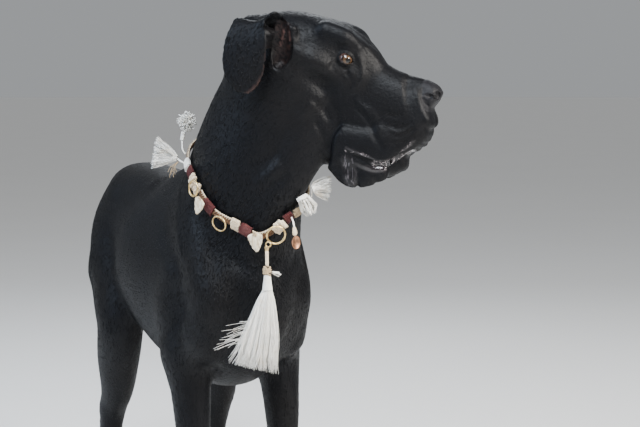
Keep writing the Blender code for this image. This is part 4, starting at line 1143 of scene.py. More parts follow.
def in_face(points):
    p = head_local(points)
    lips = (p[:, 0] > 0.165) & (p[:, 0] < 0.36) & (p[:, 1] > 0.022) & (p[:, 1] < 0.10)
    lips &= (p[:, 2] > -0.208) & (p[:, 2] < -0.022)
    front = (p[:, 0] > 0.274) & (p[:, 0] < 0.36) & (p[:, 1] < 0.06) & (p[:, 2] > -0.14)
    cheek = (p[:, 0] > 0.105) & (p[:, 0] <= 0.182) & (p[:, 1] > 0.030) & (p[:, 1] < 0.10)
    cheek &= (p[:, 2] > -0.130) & (p[:, 2] < 0.045)
    ear = (np.abs(p - (0.040, 0.075, 0.002)) < (0.032, 0.020, 0.044)).all(1)
    return lips | front | cheek | ear


def in_eyes(points):
    p = head_local(points)
    eye = np.linalg.norm(p - (0.1435, 0.0510, 0.0130), axis=1) < 0.0195
    nose = (p[:, 0] > 0.294) & (p[:, 0] < 0.36) & (p[:, 1] < 0.034) & (p[:, 2] > -0.028)
    return eye | nose


def make_skin(shapes):
    """One skin over the forms: coarse on the body, finer on head and feet, finest at lips, eyes and nose."""
    item = first_mesh(shapes)
    points, edges = arrays(item)
    points, normals = settled(points, shapes, -COAT, rounds=3, reach=0.007)
    for _ in range(2):
        points, normals = settled(evened(points, edges, normals), shapes, -COAT, rounds=1)
    set_points(item, points)
    unwrap(item)
    put_values(item, "lie", hair_lie(points, shapes))
    for region in (in_head, in_face, in_eyes):
        refine(item, region(arrays(item)[0]))
        points, edges = arrays(item)
        grown = region(points)
        near = np.where(grown)[0]
        number = np.full(len(points), -1)
        number[near] = np.arange(len(near))
        own = number[edges[(number[edges] >= 0).all(1)]]
        rim = np.zeros(len(points), bool)
        rim[edges[(grown[edges].sum(1) == 1)].ravel()] = True
        still = rim[near]
        some, normals = settled(points[near], shapes, -COAT, rounds=2, reach=0.004)
        moved = evened(some, own, normals, 0.5)
        moved[still] = some[still]
        some, normals = settled(moved, shapes, -COAT, rounds=1, reach=0.003)
        points[near] = some
        set_points(item, points)
    points, _ = arrays(item)
    points[:, 2] = np.maximum(points[:, 2], 0.0)
    set_points(item, points)
    return smooth(item)


def hair_lie(points, shapes):
    """The way the hair lies at each place: along the forms near it."""
    points = np.asarray(points, np.float32)
    total = np.zeros_like(points)
    for shape in shapes:
        plain, folded = shape.local(points)
        for form, both in shape.forms:
            if isinstance(form, Ball):
                continue
            own = folded if both else plain
            away = form.distance(own)
            near = np.where(away < 0.06)[0]
            if not len(near):
                continue
            i, _, _ = nearest(own[near], form.path)
            way = form.along[i] * form.flow
            if both:
                way = way * np.where(plain[near, 1:2] < 0, (1, -1, 1), (1, 1, 1))
            total[near] += np.exp(-np.maximum(away[near], 0) / 0.015)[:, None] * (way @ shape.turn.T)
    return unit(total)


def unwrap(item):
    """Flat map of the skin's own shape, for the coat's colours."""
    bpy.context.view_layer.objects.active = item
    item.select_set(True)
    bpy.ops.object.mode_set(mode="EDIT")
    bpy.ops.mesh.select_all(action="SELECT")
    bpy.ops.uv.smart_project(angle_limit=math.radians(66), island_margin=0.004)
    bpy.ops.object.mode_set(mode="OBJECT")
    item.data.uv_layers.active.name = "OFBake"
    item.select_set(False)


# Materials


class Value:
    """A number that varies over a surface. Sums on it add Math nodes."""

    def __init__(self, finish, socket):
        self.finish, self.socket = finish, socket

    def sum(self, operation, *values):
        node = self.finish.node("ShaderNodeMath", {"operation": operation}, *values)
        return Value(self.finish, node.outputs[0])

    def __add__(self, other):
        return self.sum("ADD", self, other)

    def __sub__(self, other):
        return self.sum("SUBTRACT", self, other)

    def __rsub__(self, other):
        return self.sum("SUBTRACT", other, self)

    def __mul__(self, other):
        return self.sum("MULTIPLY", self, other)

    def __pow__(self, other):
        return self.sum("POWER", self, other)

    __radd__ = __add__
    __rmul__ = __mul__

    def ramp(self, low, high):
        """0 below low, 1 above high, smooth between."""
        settings = {"interpolation_type": "SMOOTHSTEP"}
        node = self.finish.node("ShaderNodeMapRange", settings, self, low, high, 0.0, 1.0)
        return Value(self.finish, node.outputs[0])


class Finish:
    """One material. A number that holds all over it is set on the shader itself."""

    def __init__(self, name, **constants):
        self.material = bpy.data.materials.new(name)
        self.material.use_nodes = True
        self.tree = self.material.node_tree
        self.shader = self.tree.nodes["Principled BSDF"]
        for key, value in constants.items():
            self.shader.inputs[key.replace("_", " ")].default_value = value
        self.place = self.node("ShaderNodeTexCoord").outputs["Object"]

    def node(self, kind, settings=None, *values, **named):
        node = self.tree.nodes.new(kind)
        for key, value in (settings or {}).items():
            setattr(node, key, value)
        pairs = list(enumerate(values)) + [(key.replace("_", " "), value) for key, value in named.items()]
        for key, value in pairs:
            self.feed(node.inputs[key], value)
        return node

    def feed(self, socket, value):
        if isinstance(value, Value):
            value = value.socket
        if isinstance(value, bpy.types.NodeSocket):
            self.tree.links.new(value, socket)
        elif value is not None:
            socket.default_value = value

    def own(self, name, part="Fac"):
        """A number or vector kept on the piece itself."""
        node = self.node("ShaderNodeAttribute", {"attribute_name": name})
        return Value(self, node.outputs[part])

    def stretched(self, scale, turn=(0, 0, 0), place=None):
        node = self.node("ShaderNodeMapping", None, place or self.place)
        node.inputs["Rotation"].default_value = turn
        node.inputs["Scale"].default_value = scale
        return node.outputs[0]

    def noise(self, scale, detail=2.0, place=None, roughness=0.5):
        node = self.node("ShaderNodeTexNoise", None, Scale=scale, Detail=detail, Roughness=roughness)
        self.feed(node.inputs["Vector"], place or self.place)
        return Value(self, node.outputs[0])

    def cells(self, scale, place=None):
        node = self.node("ShaderNodeTexVoronoi", None, Scale=scale)
        self.feed(node.inputs["Vector"], place or self.place)
        return Value(self, node.outputs["Distance"])

    def mixed(self, factor, a, b):
        """Colour a where factor is 0, colour b where it is 1."""
        node = self.node("ShaderNodeMix", {"data_type": "RGBA"})
        self.feed(node.inputs["Factor"], factor)
        for key, value in (("A", a), ("B", b)):
            socket = next(s for s in node.inputs if s.name == key and s.type == "RGBA")
            self.feed(socket, (*value, 1.0) if isinstance(value, tuple) else value)
        return next(s for s in node.outputs if s.type == "RGBA")

    def bump(self, height, depth, strength=1.0, under=None):
        node = self.node("ShaderNodeBump", None, Strength=strength, Distance=depth)
        self.feed(node.inputs["Height"], height)
        if under is not None:
            self.feed(node.inputs["Normal"], under)
        return node.outputs[0]

    def finish(self, colour=None, roughness=None, normal=None, metallic=None, coat=None):
        for key, value in (
            ("Base Color", colour),
            ("Roughness", roughness),
            ("Normal", normal),
            ("Metallic", metallic),
            ("Coat Weight", coat),
        ):
            if value is not None:
                self.feed(self.shader.inputs[key], value)
        return self.material


def hair_grain(f):
    """Streaks along the coat's lie, from one stretched noise for each of five ways."""
    total = None
    for part, name, turn in (
        ("X", "lie_a", (0, 0, 0)),
        ("Y", "lie_a", (0, math.radians(45), 0)),
        ("Z", "lie_a", (0, math.radians(90), 0)),
        ("X", "lie_b", (0, math.radians(135), 0)),
        ("Y", "lie_b", (0, 0, math.radians(90))),
    ):
        share = f.node("ShaderNodeSeparateXYZ", None, f.own(name, "Vector")).outputs[part]
        streak = f.noise(420.0, 3.0, f.stretched((0.07, 1.0, 1.0), turn)) * Value(f, share)
        total = streak if total is None else total + streak
    return total


def coat_finish():
    f = Finish("coat_black", Specular_IOR_Level=0.13, Coat_Roughness=0.12)
    bare, wet, pink_and_highlight, dark, lip_glints, lobe_glints = (f.own(name) for name in ("bare", "wet", "pink_and_highlight", "dark", "lip_glints", "lobe_glints"))
    patches = f.noise(7.0, 3.0)
    strands = hair_grain(f)
    colour = f.mixed(patches.ramp(0.35, 0.7), (0.0017, 0.0019, 0.0028), (0.0036, 0.0032, 0.0033))
    colour = f.mixed(strands.ramp(0.50, 0.75) * 0.6, colour, (0.0075, 0.0074, 0.0088))
    # Pale speckles and lines along the lip margins: painted glints of the wet lips
    glint_speckle = f.cells(380.0).ramp(0.60, 0.15) * f.noise(170.0, 3.0).ramp(0.40, 0.58)
    # Pink of the ear's hollow, fading to the black coat at its edges, painted lighter as highlight along the gristle
    # ridges and the flap's rolled front edge
    colour = f.mixed(pink_and_highlight * f.noise(120.0, 3.0).ramp(0.30, 0.55), colour, (0.085, 0.045, 0.038))
    colour = f.mixed(wet, colour, (0.010, 0.008, 0.009))
    colour = f.mixed(lip_glints * glint_speckle, colour, (0.36, 0.31, 0.32))
    # Grey streaks down the hanging lip folds: painted glints along their wrinkles
    streaks = f.noise(330.0, 2.0, f.stretched((1.0, 1.0, 0.16))).ramp(0.52, 0.66)
    colour = f.mixed(lobe_glints * streaks * 0.8, colour, (0.075, 0.068, 0.074))
    colour = f.mixed(bare, colour, (0.0085, 0.0082, 0.0095))
    # Nostrils, their slits and the lids' rim against the eyeball are painted near black as shade
    colour = f.mixed(dark, colour, (0.0012, 0.0010, 0.0010))
    rough = 0.40 + strands * 0.12 + patches * 0.06
    rough = rough + wet * (0.22 - rough)
    rough = rough + bare * (0.44 - rough)
    rough = rough + dark * (0.95 - rough)
    pebbles = f.cells(620.0)
    clumps = f.noise(210.0, 3.0) * 1.5
    height = (strands + clumps) * (1 - bare) * (1 - wet) + bare * pebbles * 0.8 + wet * f.noise(420.0, 3.0) * 1.6
    shine = wet * 0.8 * (1 - dark)
    return f.finish(colour, rough, f.bump(height, 0.0006, 0.8), coat=shine)


def tuft_finish():
    f = Finish("coat_tufts", Specular_IOR_Level=0.13)
    patches = f.noise(7.0, 3.0)
    colour = f.mixed(patches.ramp(0.35, 0.7), (0.0017, 0.0019, 0.0028), (0.0036, 0.0032, 0.0033))
    colour = f.mixed(f.own("shade") * 0.6, colour, (0.0075, 0.0074, 0.0088))
    return f.finish(colour, 0.42 + patches * 0.10, f.bump(f.noise(900.0, 2.0), 0.0003, 0.4))


def eye_finish():
    f = Finish("eye_look", Specular_IOR_Level=0.3, Coat_Weight=0.22, Coat_Roughness=0.10)
    out = f.own("out")
    streaks = f.noise(260.0, 4.0, f.own("spoke", "Vector"))
    iris = f.mixed(streaks.ramp(0.35, 0.65), (0.026, 0.014, 0.008), (0.088, 0.052, 0.030))
    iris = f.mixed(out.ramp(0.34, 0.60), iris, (0.055, 0.028, 0.013))
    iris = f.mixed(out.ramp(0.66, 0.76), iris, (0.012, 0.006, 0.004))
    # The white of the eye is painted dark brown as shade, darkest next to the iris
    shaded_sclera = f.mixed(f.noise(500.0, 3.0).ramp(0.5, 0.7), (0.040, 0.022, 0.018), (0.045, 0.014, 0.011))
    colour = f.mixed(out.ramp(0.80, 0.88), iris, f.mixed(out.ramp(0.88, 1.3), (0.016, 0.009, 0.007), shaded_sclera))
    colour = f.mixed(out.ramp(0.30, 0.35), (0.0010, 0.0010, 0.0012), colour)
    return f.finish(colour, 0.10 + f.noise(80.0, 2.0) * 0.08, f.bump(f.noise(300.0, 2.0), 0.0001, 0.15))


def claw_finish():
    f = Finish("claw_horn", Specular_IOR_Level=0.5)
    bands = f.noise(160.0, 3.0, f.stretched((1.0, 1.0, 0.25)))
    colour = f.mixed(bands.ramp(0.35, 0.7), (0.012, 0.010, 0.010), (0.050, 0.040, 0.034))
    return f.finish(colour, 0.32 + bands * 0.2, f.bump(bands, 0.0004, 0.5))


def yarn_finish(name, light, dark, warm, twist=900.0, rough=0.85, sheen=0.25):
    """Spun fibre: plies along the thread, lint and a little dirt."""
    f = Finish(name, Specular_IOR_Level=0.25, Sheen_Weight=sheen, Sheen_Roughness=0.5)
    fibre = f.noise(twist, 3.0)
    soil = f.noise(38.0, 4.0)
    plies = f.node("ShaderNodeTexWave", {"wave_type": "BANDS", "bands_direction": "DIAGONAL"}, Scale=310.0, Distortion=3.0)
    f.feed(plies.inputs["Vector"], f.place)
    plies = Value(f, plies.outputs["Fac"])
    colour = f.mixed(fibre.ramp(0.3, 0.7), dark, light)
    colour = f.mixed(soil.ramp(0.52, 0.78) * 0.7, colour, warm)
    return f.finish(colour, rough - 0.1 + fibre * 0.15, f.bump(fibre * 0.5 + plies, 0.0005, 0.6))


def metal_finish(name, bright, dull, rough):
    f = Finish(name, Metallic=1.0)
    wear = f.noise(120.0, 4.0)
    marks = f.noise(700.0, 2.0, f.stretched((1.0, 0.2, 1.0)))
    colour = f.mixed(wear.ramp(0.40, 0.66), bright, dull)
    return f.finish(colour, rough + wear * 0.22 + marks * 0.08, f.bump(marks + wear, 0.0003, 0.35))


def shell_finish():
    f = Finish("shell_cream", Specular_IOR_Level=0.5, Coat_Weight=0.15, Coat_Roughness=0.25)
    bands = f.noise(240.0, 3.0, f.stretched((1.0, 1.0, 0.35)))
    colour = f.mixed(bands.ramp(0.4, 0.62), (0.80, 0.71, 0.54), (0.60, 0.47, 0.30))
    colour = f.mixed(f.noise(60.0, 3.0).ramp(0.55, 0.75) * 0.6, colour, (0.38, 0.27, 0.17))
    return f.finish(colour, 0.38 + bands * 0.25, f.bump(bands, 0.0005, 0.5))


def floor_finish():
    f = Finish("floor_pale", Specular_IOR_Level=0.2)
    cloud = f.noise(1.3, 3.0)
    colour = f.mixed(cloud, (0.80, 0.79, 0.77), (0.83, 0.82, 0.805))
    return f.finish(colour, 0.75 + cloud * 0.1)


# The coat


def near_path(points, path, steps=6):
    """Distance from each head-local place to a line."""
    _, _, away = nearest(points.astype(np.float32), smooth_rows(path, steps).astype(np.float32))
    return away


def faded(values, low, high):
    share = np.clip((values - low) / (high - low), 0, 1)
    return share * share * (3 - 2 * share)


def mark_skin(item):
    """Where the skin is bare, wet or pink, where glints, highlights and shade are painted on it, and the way its hair
    lies.
    """
    points, _ = arrays(item)
    p = head_local(points)
    y = p[:, 1]
    bare = (p[:, 0] - 0.2790) - 0.62 * (0.0185 - p[:, 2]) + 0.43 * y
    bare = faded(bare, -0.0008, 0.0012) * (p[:, 2] > -0.0290) * (p[:, 0] > 0.270) * (y < 0.034)
    low = [(0.289, 0.030, -0.122), (0.268, 0.035, -0.1425), (0.248, 0.038, -0.152), (0.226, 0.040, -0.152), (0.192, 0.043, -0.147)]
    wet = 1 - faded(near_path(p, low), 0.0035, 0.0075)
    # Pale speckles along the beaded lower lip are painted glints of the wet lips
    lip_glints = 1 - faded(near_path(p, LOWER_BEADS), 0.0045, 0.0115)
    wet = np.maximum(wet, 0.8 * lip_glints)
    wet = np.maximum(wet, 0.30 * (1 - faded(near_path(p, LOBE), 0.0070, 0.0160)))
    gape = [(0.300, 0.018, -0.085), (0.284, 0.028, -0.110), (0.264, 0.032, -0.132), (0.246, 0.034, -0.142), (0.220, 0.036, -0.140), (0.192, 0.038, -0.137)]
    wet = np.maximum(wet, 1 - faded(near_path(p, gape), 0.0045, 0.0085))
    wet = np.maximum(wet, 0.7 * (1 - faded(near_path(p, MOUTH_UPPER), 0.0012, 0.0032)))
    hollow = [(0.0270, 0.0690, 0.0280), (0.0340, 0.0670, 0.0120), (0.0400, 0.0650, -0.0120), (0.0420, 0.0610, -0.0260)]
    pink_and_highlight = 0.12 * (1 - faded(near_path(p, hollow), 0.0080, 0.0190))
    # The gristle ridges are painted brighter pink as highlight, over the hollow's own pink
    for path in GRISTLE:
        pink_and_highlight = np.maximum(pink_and_highlight, 0.8 * (1 - faded(near_path(p, path), 0.0016, 0.0052)))
    # A painted highlight along the flap's rolled front edge
    rim = 1 - faded(near_path(p, FLAP_EDGE), 0.0022, 0.0050)
    pink_and_highlight = np.maximum(pink_and_highlight, 0.28 * rim)
    # Painted shade: the lids' rim against the eyeball, the nostrils and the slits beside them
    eye = p - np.array(EYE_PLACE)
    lid = 1 - faded(np.linalg.norm(eye, axis=1), EYE_RADIUS + 0.0005, EYE_RADIUS + 0.0017)
    holes = near_path(p, [(0.3120, 0.0142, 0.0012), (0.3080, 0.0138, 0.0010), (0.2960, 0.0110, -0.0005)])
    dark = np.maximum(lid, 1 - faded(holes, 0.0058, 0.0076))
    dark = np.maximum(dark, 1 - faded(near_path(p, [(0.3070, 0.0188, -0.0015), (0.3000, 0.0232, -0.0030), (0.2920, 0.0258, -0.0030)]), 0.0024, 0.0036))
    put_values(item, "bare", bare)
    put_values(item, "wet", wet * (1 - bare))
    # Painted glints also run as lines along the upper lip's margin
    lip_glints = np.maximum(lip_glints, 0.55 * (1 - faded(near_path(p, MOUTH_UPPER[:4]), 0.0012, 0.0034)))
    # The hanging lip folds get painted glints along their wrinkles
    put_values(item, "lobe_glints", 1 - faded(near_path(p, LOBE), 0.0050, 0.0140))
    line = 1 - faded(near_path(p, [(0.1940, 0.051, -0.1375), (0.2140, 0.051, -0.1340), (0.2340, 0.050, -0.1305)]), 0.0012, 0.0030)
    put_values(item, "lip_glints", np.maximum(lip_glints, line) * (1 - bare))
    put_values(item, "pink_and_highlight", pink_and_highlight)
    put_values(item, "dark", dark)
    normals = point_normals(item)
    lie = np.empty(len(points) * 3, np.float32)
    item.data.attributes["lie"].data.foreach_get("vector", lie)
    lie = lie.reshape(-1, 3)
    lie = unit(lie - (lie * normals).sum(1)[:, None] * normals)
    ways = np.array([(1, 0, 0), (0.7071, 0, -0.7071), (0, 0, 1), (-0.7071, 0, -0.7071), (0, 1, 0)])
    shares = np.abs(lie @ ways.T) ** 6 + 1e-6
    shares /= shares.sum(1)[:, None]
    put_values(item, "lie_a", shares[:, :3])
    put_values(item, "lie_b", np.column_stack([shares[:, 3:], np.zeros(len(shares))]))
    return normals, lie, bare, np.maximum(wet, rim), dark


def point_normals(item):
    normals = np.empty(len(item.data.vertices) * 3, np.float32)
    item.data.vertex_normals.foreach_get("vector", normals)
    return normals.reshape(-1, 3)


def coat_length(points, p):
    """Length of a tuft, and how close tufts stand, at each place."""
    length = np.full(len(points), 0.0105)
    thick = np.full(len(points), 1.0)
    head = (p[:, 0] > -0.03) & (np.abs(p[:, 1]) < 0.12) & (p[:, 2] > -0.22) & (points[:, 2] > 0.80)
    share = faded(p[:, 0], -0.03, 0.12) * head
    length = length * (1 - share) + 0.0052 * share
    thick += 1.6 * share
    muzzle = head & (p[:, 0] > 0.20)
    length[muzzle] = 0.0034
    legs = faded(-points[:, 2], -0.42, -0.20)
    length = length * (1 - 0.35 * legs)
    feet = points[:, 2] < 0.085
    length[feet] = 0.0046
    thick[feet] = 2.2
    tail = points[:, 0] < -0.66
    length[tail] = 0.0135
    thick[tail] = 2.4
    rear = (points[:, 0] < -0.50) & (points[:, 2] > 0.30) & ~tail
    length[rear] = 0.0125
    thick[rear] = 1.6
    belly = (points[:, 2] < 0.47) & (points[:, 2] > 0.38) & (np.abs(points[:, 1]) < 0.11) & (points[:, 0] < -0.05) & (points[:, 0] > -0.42)
    length[belly] = 0.0130
    thick[belly] = 1.8
    chest = (points[:, 0] > 0.06) & (points[:, 2] > 0.45) & (points[:, 2] < 0.80)
    thick[chest] = 1.7
    return length, thick


def make_tufts(item, normals, lie, bare, wet, dark, count, pieces):
    """Thin tufts that overlap along the body, a patch of the skin's own map for each."""
    mesh = item.data
    mesh.calc_loop_triangles()
    corners = np.empty(len(mesh.loop_triangles) * 3, np.int64)
    mesh.loop_triangles.foreach_get("vertices", corners)
    loops = np.empty(len(corners), np.int64)
    mesh.loop_triangles.foreach_get("loops", loops)
    flat = np.empty(len(mesh.loops) * 2)
    mesh.uv_layers["OFBake"].data.foreach_get("uv", flat)
    corners, loops, flat = corners.reshape(-1, 3), loops.reshape(-1, 3), flat.reshape(-1, 2)
    points, _ = arrays(item)
    p = head_local(points)
    length, thick = coat_length(points, p)
    open_skin = (1 - bare) * (1 - np.clip(wet, 0, 1)) * (1 - dark)
    thick = thick * (open_skin > 0.6)
    a, b, c = (points[corners[:, k]] for k in range(3))
    area = np.linalg.norm(np.cross(b - a, c - a), axis=1) / 2
    chance = area * thick[corners].min(1)
    chosen = rng.choice(len(corners), count, p=chance / chance.sum())
    share = rng.random((count, 2))
    over = share.sum(1) > 1
    share[over] = 1 - share[over]
    weight = np.column_stack([1 - share.sum(1), share])[:, :, None]
    root = (points[corners[chosen]] * weight).sum(1)
    up = unit((normals[corners[chosen]] * weight).sum(1))
    way = (lie[corners[chosen]] * weight).sum(1)
    size = (length[corners[chosen]] * weight[:, :, 0]).sum(1) * rng.uniform(0.75, 1.25, count)
    where = (flat[loops[chosen]] * weight).sum(1)
    way = unit(way - (way * up).sum(1)[:, None] * up)
    cross = np.cross(up, way)
    way = unit(way + cross * rng.normal(0, 0.16, count)[:, None])
    cross = np.cross(up, way)
    tree = BVHTree.FromPolygons(points.tolist(), corners.tolist())
    half = size * rng.uniform(0.052, 0.080, count)
    levels = []
    for reach, lift in ((0.42, 0.00030), (1.0, 0.00040)):
        place = root + way * (size * reach)[:, None]
        lifts = lift * np.clip(size / 0.010, 0.5, 1.2) * rng.uniform(0.8, 1.3, count)
        found = [tree.find_nearest(q) for q in place.tolist()]
        near = np.array([f[0] for f in found])
        out = np.array([f[1] for f in found])
        levels.append(near + out * lifts[:, None])
    rings = []
    for centre, wide in ((root - up * 0.0005, 0.8), (levels[0], 1.0)):
        side = cross * (half * wide)[:, None]
        rings += [centre - side - up * 0.0001, centre + side - up * 0.0001, centre + up * (half * 0.12)[:, None]]
    tuft = np.stack(rings + [levels[1]], 1)
    shape = [(0, 1, 4, 3), (1, 2, 5, 4), (2, 0, 3, 5)]
    tips = [(3, 4, 6), (4, 5, 6), (5, 3, 6), (1, 0, 2)]
    around = [(0, 0), (1, 0), (2, 0), (0, 1), (1, 1), (2, 1)]
    loops_uv = []
    for face in shape:
        first = around[face[0]][0]
        for corner in face:
            x, y = around[corner]
            loops_uv.append(((x if x >= first else x + 3) / 3 - 0.5, y * 0.5 - 0.5))
    for face in tips[:3]:
        first = around[face[0]][0]
        for corner in face[:2]:
            x = around[corner][0]
            loops_uv.append(((x if x >= first else x + 3) / 3 - 0.5, 0.0))
        loops_uv.append(((first + 0.5) / 3 - 0.5, 0.5))
    loops_uv += [(-0.5, -0.5), (-0.4, -0.5), (-0.45, -0.45)]
    loops_uv = np.array(loops_uv) * 0.0030
    shades = np.repeat(rng.random(count), 7)
    made = []
    for k, part in enumerate(np.array_split(np.argsort(root[:, 0] + 0.3 * root[:, 2]), pieces)):
        own = tuft[part]
        start = (np.arange(len(part)) * 7)[:, None, None]
        quads = (start + np.array(shape)).reshape(-1, 4)
        thirds = (start + np.array(tips)).reshape(-1, 3)
        piece = built("coat", own.reshape(-1, 3), quads, thirds)
        patch = where[part][:, None] + loops_uv
        layer = piece.data.uv_layers.new(name="OFBake")
        values = np.concatenate([patch[:, :12].reshape(-1, 2), patch[:, 12:].reshape(-1, 2)])
        layer.data.foreach_set("uv", np.clip(values, 0.0005, 0.9995).ravel())
        put_values(piece, "shade", shades.reshape(-1, 7)[part].ravel())
        made.append(piece)
    return made


def make_whiskers():
    """Long single hairs on lips, chin, brow and cheek, in the head's frame."""
    paths = []
    rows = [
        [(0.236, 0.0425, -0.052), (0.270, 0.0420, -0.047)],
        [(0.246, 0.0435, -0.069), (0.288, 0.0415, -0.052)],
        [(0.258, 0.0475, -0.083), (0.300, 0.0400, -0.062)],
        [(0.268, 0.0490, -0.097), (0.302, 0.0430, -0.080)],
    ]
    roots = [np.array(a) + (np.array(b) - np.array(a)) * t for a, b in rows for t in np.linspace(0, 1, 6)]
    roots += [np.array(q) for q in ((0.106, 0.0650, -0.0555), (0.108, 0.0650, -0.0590), (0.136, 0.0530, 0.0440), (0.150, 0.0440, 0.0430))]
    for root in roots:
        for side in (1, -1):
            size = rng.uniform(0.020, 0.038)
            way = unit(np.array((rng.uniform(-0.5, 0.25), 0.8, rng.uniform(-0.7, 0.1))))
            t = np.linspace(0, 1, 6)[:, None]
            curve = root - way * 0.002 + way * size * t + np.array((-0.35, 0, -0.45)) * size * t**2
            paths.append(HEAD.world(curve * (1, side, 1)))
    half = np.linspace(0.00030, 0.00008, 6)
    return tubes("whiskers", np.array(paths), half, sides=3)


def make_eye(side):
    """An eyeball with a clear bulge over its iris, turned to look ahead and out."""
    centre = HEAD.world(np.array([EYE_PLACE]) * (1, side, 1))[0]
    gaze = unit(np.array(GAZE) * (1, side, 1)) @ HEAD.turn.T
    form = bmesh.new()
    bmesh.ops.create_uvsphere(form, u_segments=64, v_segments=48, radius=EYE_RADIUS)
    turn = Vector((0, 0, 1)).rotation_difference(Vector(gaze)).to_matrix()
    for vert in form.verts:
        out = vert.co.angle((0, 0, 1), 0.0)
        vert.co *= 1 + 0.085 * max(0.0, 1 - (out / 0.66) ** 2) ** 1.3
    outs = np.array([vert.co.angle((0, 0, 1), 0.0) for vert in form.verts])
    flat = np.array([vert.co.xy.to_tuple() for vert in form.verts])
    bmesh.ops.rotate(form, verts=form.verts, cent=(0, 0, 0), matrix=turn)
    bmesh.ops.translate(form, verts=form.verts, vec=centre)
    mesh = bpy.data.meshes.new("eye")
    form.to_mesh(mesh)
    form.free()
    item = bpy.data.objects.new("eye", mesh)
    bpy.context.collection.objects.link(item)
    put_values(item, "out", outs)
    around = flat / np.maximum(np.linalg.norm(flat, axis=1), 1e-6)[:, None]
    put_values(item, "spoke", np.column_stack([around * 0.02, outs * 0.003]))
    return smooth(item)


def make_claws():
    """Four dark claws on each foot."""
    paths = []
    feet = [(0.052, y * 1.065, math.copysign(0.04, y), 1.0) for y in (LEG_HALF_APART, -LEG_HALF_APART)]
    feet += [(leg["paw"] + 0.040, leg["side"] * 1.02, math.copysign(0.05, leg["side"]), 0.95) for leg in HIND.values()]
    for x, y, turn, scale in feet:
        c, s = math.cos(turn), math.sin(turn)
        for left, ahead in ((-0.030, -0.004), (-0.0105, 0.010), (0.0105, 0.010), (0.030, -0.004)):
            line = [(0.046, 0.0215), (0.054, 0.0220), (0.0605, 0.0195), (0.0655, 0.0145), (0.0680, 0.0085), (0.0685, 0.0050)]
            path = []
            for forward, height in line:
                f, g = (ahead + forward) * scale, left * (1.02 + 0.5 * (forward - 0.046)) * scale
                path.append((x + c * f - s * g, y + s * f + c * g, height * scale))
            paths.append(smooth_rows(np.array(path), 2))
    half = np.interp(np.linspace(0, 1, len(paths[0])), (0, 0.25, 0.7, 1), (0.0038, 0.0044, 0.0032, 0.0010))
    return tubes("claws", np.array(paths), half, sides=10, flat=1.25)


# The collar


class Loop:
    """The collar's line round the neck. Lengths run from the front ring up the dog's right side."""

    def __init__(self, shapes):
        right = [
            (0.1736, -0.0084, 0.7291),
            (0.1591, -0.0306, 0.7185),
            (0.1402, -0.0471, 0.7294),
            (0.0967, -0.0745, 0.7478),
            (0.0667, -0.0890, 0.7690),
            (0.0368, -0.0961, 0.7993),
            (0.0045, -0.0969, 0.8243),
            (-0.0522, -0.0787, 0.8611),
        ]
        left = [
            (-0.085, -0.030, 0.885),
            (-0.078, 0.020, 0.893),
            (-0.035, 0.070, 0.882),
            (0.030, 0.092, 0.862),
            (0.100, 0.085, 0.832),
            (0.155, 0.062, 0.800),
            (0.1835, 0.0237, 0.7602),
        ]
        path = smooth_rows(right + left, 12, closed=True)
        path, _ = settled(path, shapes, CLEAR + WRAP[1], rounds=8)
        path = np.vstack([path, path[:1]])
        length = np.concatenate([[0], np.cumsum(np.linalg.norm(np.diff(path, axis=0), axis=1))])
        self.whole = length[-1]
        self.marks = np.linspace(0, self.whole, 500)
        place = np.column_stack([np.interp(self.marks, length, path[:, k]) for k in range(3)])
        after = np.column_stack([np.interp((self.marks + 0.004) % self.whole, length, path[:, k]) for k in range(3)])
        before = np.column_stack([np.interp((self.marks - 0.004) % self.whole, length, path[:, k]) for k in range(3)])
        ahead = unit(after - before)
        place, normal = settled(place, shapes, CLEAR, rounds=6)
        out = unit(normal - (normal * ahead).sum(1)[:, None] * ahead)
        self.rows = np.column_stack([place, ahead, np.cross(out, ahead), out])

    def at(self, along):
        """Place by the skin, direction along, direction down the neck, and outward, at these lengths."""
        along = np.asarray(along, float) % self.whole
        row = np.stack([np.interp(along, self.marks, self.rows[:, k]) for k in range(12)], -1)
        return row[..., :3], unit(row[..., 3:6]), unit(row[..., 6:9]), unit(row[..., 9:])


def core(name, loop, start, end, size, scale=0.8):
    """The bound middle of a stretch of collar."""
    s = np.linspace(start + 0.001, end - 0.001, max(4, int((end - start) / 0.004)))
    place, _, down, out = loop.at(s)
    path = place + out * size[1]
    half = np.full(len(s), size[0] * scale)
    half[[0, -1]] *= 0.6
    return tubes(name, [path], half, sides=16, flat=size[1] / size[0], wide=down[None])


def wound(name, loop, start, end, size, thread, pitch, plies=1, loose=0.0):
    """Thread wound side by side round a stretch of collar."""
    turns = (end - start - 2 * thread) / pitch
    steps = int(turns * 18)
    phase = np.linspace(0, turns * 2 * math.pi, steps)
    s = start + thread + (end - start - 2 * thread) * phase / phase[-1]
    place, ahead, down, out = loop.at(s)
    wave = 1 + loose * np.sin(phase * 0.53 + 1.0) * 0.5 + loose * np.sin(phase * 0.171 + 2.0) * 0.5
    across = (size[0] - thread) * wave
    high = (size[1] - thread) * wave
    centre = place + out * size[1]
    c, d = np.cos(phase), np.sin(phase)
    squared = (np.abs(c) ** 2.5 + np.abs(d) ** 2.5) ** (-1 / 2.5)
    path = centre + down * (across * c * squared)[:, None] + out * (high * d * squared)[:, None]
    if plies == 1:
        return tubes(name, [path], thread, sides=7, wide=ahead[None])
    along = unit(np.gradient(path, axis=0))
    side = unit(ahead - (ahead * along).sum(1)[:, None] * along)
    top = np.cross(along, side)
    length = np.concatenate([[0], np.cumsum(np.linalg.norm(np.diff(path, axis=0), axis=1))])
    paths = []
    for k in range(plies):
        q = length / (thread * 6.5) * 2 * math.pi + k / plies * 2 * math.pi
        paths.append(path + (np.cos(q)[:, None] * side + np.sin(q)[:, None] * top) * thread * 0.48)
    return tubes(name, paths, thread * 0.56, sides=7, wide=ahead[None])


